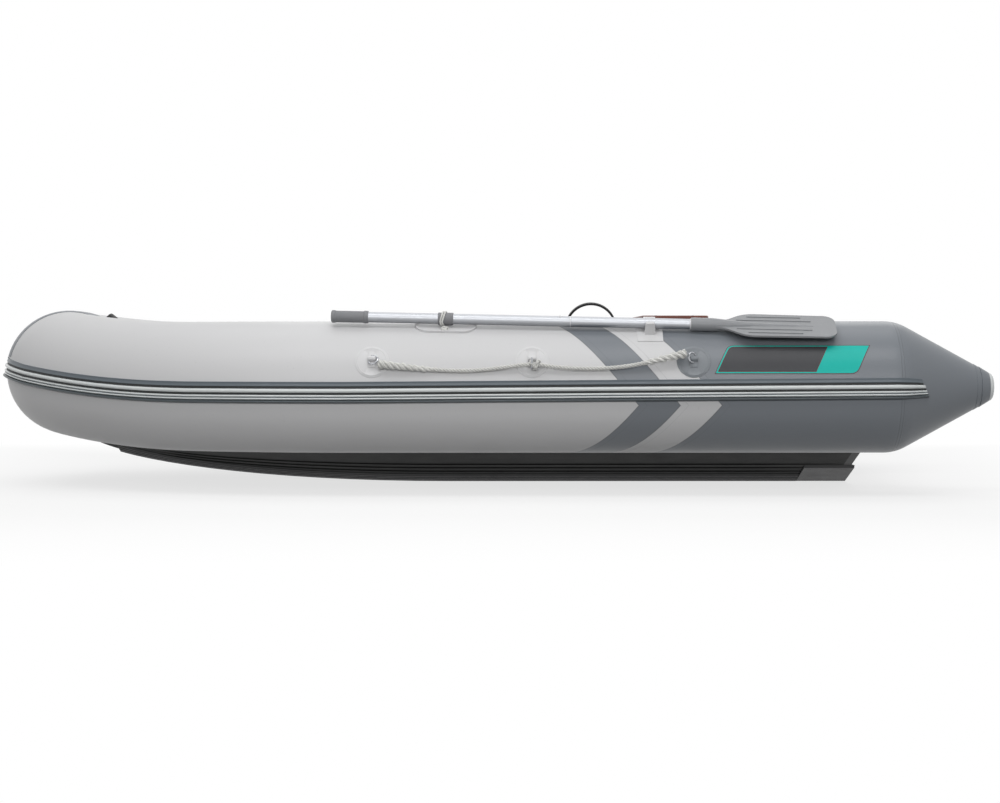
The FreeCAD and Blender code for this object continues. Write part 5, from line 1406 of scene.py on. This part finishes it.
@dataclass
class OarFittings:
    """Pieces on the oars that the frame leaves out: ties round the collars, joint rings and buttons."""

    pin: Vector = Vector((0.0935, 0.700, 0.453))
    toe: float = -0.031
    rake: float = 0.0225
    lean: float = radians(27)
    strand: float = 0.0026
    reach: float = 0.0224
    knot: Vector = Vector((0.001, 0.0275, -0.023))
    tail: tuple[Triple, ...] = ((0.004, 0.001, -0.003), (0.006, 0.004, -0.010), (0.009, 0.003, -0.018),
                                (0.008, 0.001, -0.026))
    shaft_radius: float = 0.0165
    button_x: float = -0.360

    def place(self, side: Side) -> Matrix:
        """The oar's place: X along it towards the grip and Z along its pin."""
        line = Vector((1, self.toe, self.rake)).normalized()
        pin = Vector((0, sin(self.lean), cos(self.lean)))
        pin = (pin - line * pin.dot(line)).normalized()
        flip = Matrix.Scale(side.value, 4, Y_AXIS) if side is Side.STARBOARD else Matrix.Identity(4)
        return flip @ Matrix.Translation(self.pin) @ axes_matrix(Vector(), line, pin.cross(line))

    def cord(self, points: Sequence[Vector], up: Vector) -> Mesh:
        """Thin cord along a line of points."""
        return sweep(circle_outline(self.strand, 8), path_places(points, up))

    def tie(self) -> Mesh:
        """Two turns of thin cord round the collar, with a knot and two tails at the outboard side."""
        parts = []
        for start, slope in ((0.010, -0.012), (0.016, -0.010)):
            loop = [Vector((start + slope * sin(angle / 2), self.reach * cos(angle),
                            self.reach * sin(angle)))
                    for angle in span(0.0, tau, 32)]
            parts.append(self.cord(loop, X_AXIS))
        for index, (tilt, size) in enumerate(((0.2, 0.0115), (1.3, 0.0100), (2.3, 0.0110))):
            turn = Matrix.Rotation(tilt, 3, "Z") @ Matrix.Rotation(0.9 * index + 0.3, 3, "X")
            ring = [self.knot + turn @ Vector((cos(angle), sin(angle) * 0.8,
                                               0.35 * sin(2 * angle + index))) * size
                    for angle in span(0.0, tau, 20)]
            parts.append(self.cord(ring, Z_AXIS))
        for drift in (-1, 1):
            tail = [self.knot + Vector((drift * x, y, z)) for x, y, z in self.tail]
            parts.append(self.cord(tail, X_AXIS))
        return joined(parts)

    def joint(self) -> Mesh:
        """A pale sleeve ring before the blade and the shaft's joint with its spring button."""
        parts = []
        for x, half, lift in ((-0.770, 0.0035, 0.0012), (-0.392, 0.0012, 0.0004)):
            inner, outer = self.shaft_radius - 0.001, self.shaft_radius + lift
            profile = [(inner, -half), (outer, -half), (outer, half), (inner, half), (inner, -half)]
            parts.append(turned(profile, Matrix.Translation((x, 0, 0)) @ Matrix.Rotation(pi / 2, 4, "Y"), 40))
        button = [(0.0, 0.0195), (0.0025, 0.0190), (0.0036, 0.0175), (0.0036, 0.0150), (0.0, 0.0150)]
        parts.append(turned(button, Matrix.Translation((self.button_x, 0, 0)), 20))
        return joined(parts)

    def build(self) -> None:
        """The fittings of both oars."""
        for side, body in zip(Side, (Body.OAR_PORT, Body.OAR_STARBOARD)):
            for name, mesh, finish, slot in (("tie", self.tie(), Finish.THIN_CORD, "rope"),
                                             ("joint", self.joint(), Finish.PRONG, "oar_plastic")):
                bmesh.ops.transform(mesh, matrix=self.place(side), verts=mesh.verts)
                if side is Side.STARBOARD:
                    bmesh.ops.reverse_faces(mesh, faces=mesh.faces)
                make_piece(f"oar_{name}_{side.word}", mesh, [finish], slot, body=body, sharp=60)


@dataclass
class Hardware:
    """Bolts and screws on the frame's fittings."""

    bolt_y: float = 0.095
    bolt_inset: float = 0.022
    eye_plate: Vector = Vector((-1.276, 0.311, 0.170))
    eye_screw: float = 0.023

    def bolt(self, spot: Sequence[float], turn: float = 0.0, radius: float = 0.008,
             height: float = 0.004) -> Mesh:
        """A domed bolt head on a washer.

        Args:
            spot: the middle of its foot.
            turn: its turn about Y, from standing up.
            radius: of its head.
            height: of its head.

        Returns:
            The bolt's mesh.
        """
        profile = [(0.0, height), (radius * 0.45, height * 0.94), (radius * 0.75, height * 0.72),
                   (radius * 0.9, height * 0.3), (radius * 0.9, height * 0.25), (radius * 1.5, height * 0.22),
                   (radius * 1.55, 0.0), (0.0, 0.0)]
        return turned(profile, Matrix.Translation(spot) @ Matrix.Rotation(turn, 4, "Y"), 24)

    def build_transom(self) -> None:
        """Bolts through the motor pads, and screws in the towing eyes' plates."""
        quarter = pi / 2
        parts = []
        for node, turn in (("motor_pad_outer", -quarter), ("motor_pad_inner", quarter)):
            low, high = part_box(node)
            x = low.x if turn < 0 else high.x
            parts += [self.bolt((x, y, z), turn) for y in (-self.bolt_y, self.bolt_y)
                      for z in (low.z + self.bolt_inset, high.z - self.bolt_inset)]
        x, y, z = self.eye_plate
        parts += [self.bolt((x, sign * y, z + rise), -quarter, 0.0032, 0.002) for sign in (-1, 1)
                  for rise in (-self.eye_screw, self.eye_screw)]
        make_piece("transom_bolts", joined(parts), [Finish.STEEL], "steel")

    def build_benches(self) -> None:
        """Screws over each runner."""
        for body in (Body.BENCH_FRONT, Body.BENCH_AFT):
            low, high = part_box(body.value)
            middle = (low.x + high.x) / 2
            parts = [self.bolt((middle + along, side, high.z), 0.0, 0.006, 0.0022)
                     for along in (-0.06, 0.06) for side in (-0.5, 0.5)]
            make_piece(f"{body.value}_screws", joined(parts), [Finish.STEEL], "steel", body=body)

    def build(self) -> None:
        """All the small hardware."""
        self.build_transom()
        self.build_benches()


@dataclass
class FrameFinishes:
    """Finishes of the frame's nodes that stay in view."""

    rules: tuple[tuple[str, Finish], ...] = (
        ("_shaft", Finish.OAR_TUBE), ("_grip", Finish.GRIP), ("_collar", Finish.GRIP),
        ("_blade", Finish.OAR_PLASTIC), ("rowlock_pins", Finish.STEEL), ("rings", Finish.STEEL),
        ("towing", Finish.STEEL), ("rowlock_pads", Finish.PATCH), ("clip_pads", Finish.PATCH),
        ("prong", Finish.PRONG), ("floor_panel", Finish.PLATE), ("floor_", Finish.ROLLED),
        ("runners", Finish.OAR_PLASTIC), ("tracks", Finish.PATCH_DARK), ("bench_", Finish.BENCH_WOOD),
        ("holders", Finish.STERN), ("motor_pad", Finish.BLACK), ("transom", Finish.TRANSOM_WOOD),
        ("cone_caps", Finish.LIP), ("keel", Finish.BLACK), ("drain", Finish.BLACK),
        ("air_valves", Finish.BLACK), ("bottom", Finish.BOTTOM), ("handle", Finish.WEBBING),
        ("patches", Finish.PATCH), ("lifeline", Finish.ROPE), ("rail", Finish.FLANGE),
        ("nose_band", Finish.STERN))

    def build(self) -> None:
        """Give every node the finish of the first rule that its name fits."""
        for name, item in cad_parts.items():
            finish = next((finish for word, finish in self.rules if word in name), Finish.TUBES)
            item.data.materials.clear()
            item.data.materials.append(finish.material)
            LOG.info("node %s: %s", name, finish.material.name)


def main() -> None:
    """Build the studio and the boat."""
    logging.basicConfig(level=logging.INFO, format="%(message)s")
    for part in (Studio, Lifelines, Tubes, RubRail, SoftBottom, Badges, Handles, OarFittings, Hardware,
                 FrameFinishes):
        part().build()


if __name__ == "__main__":
    main()
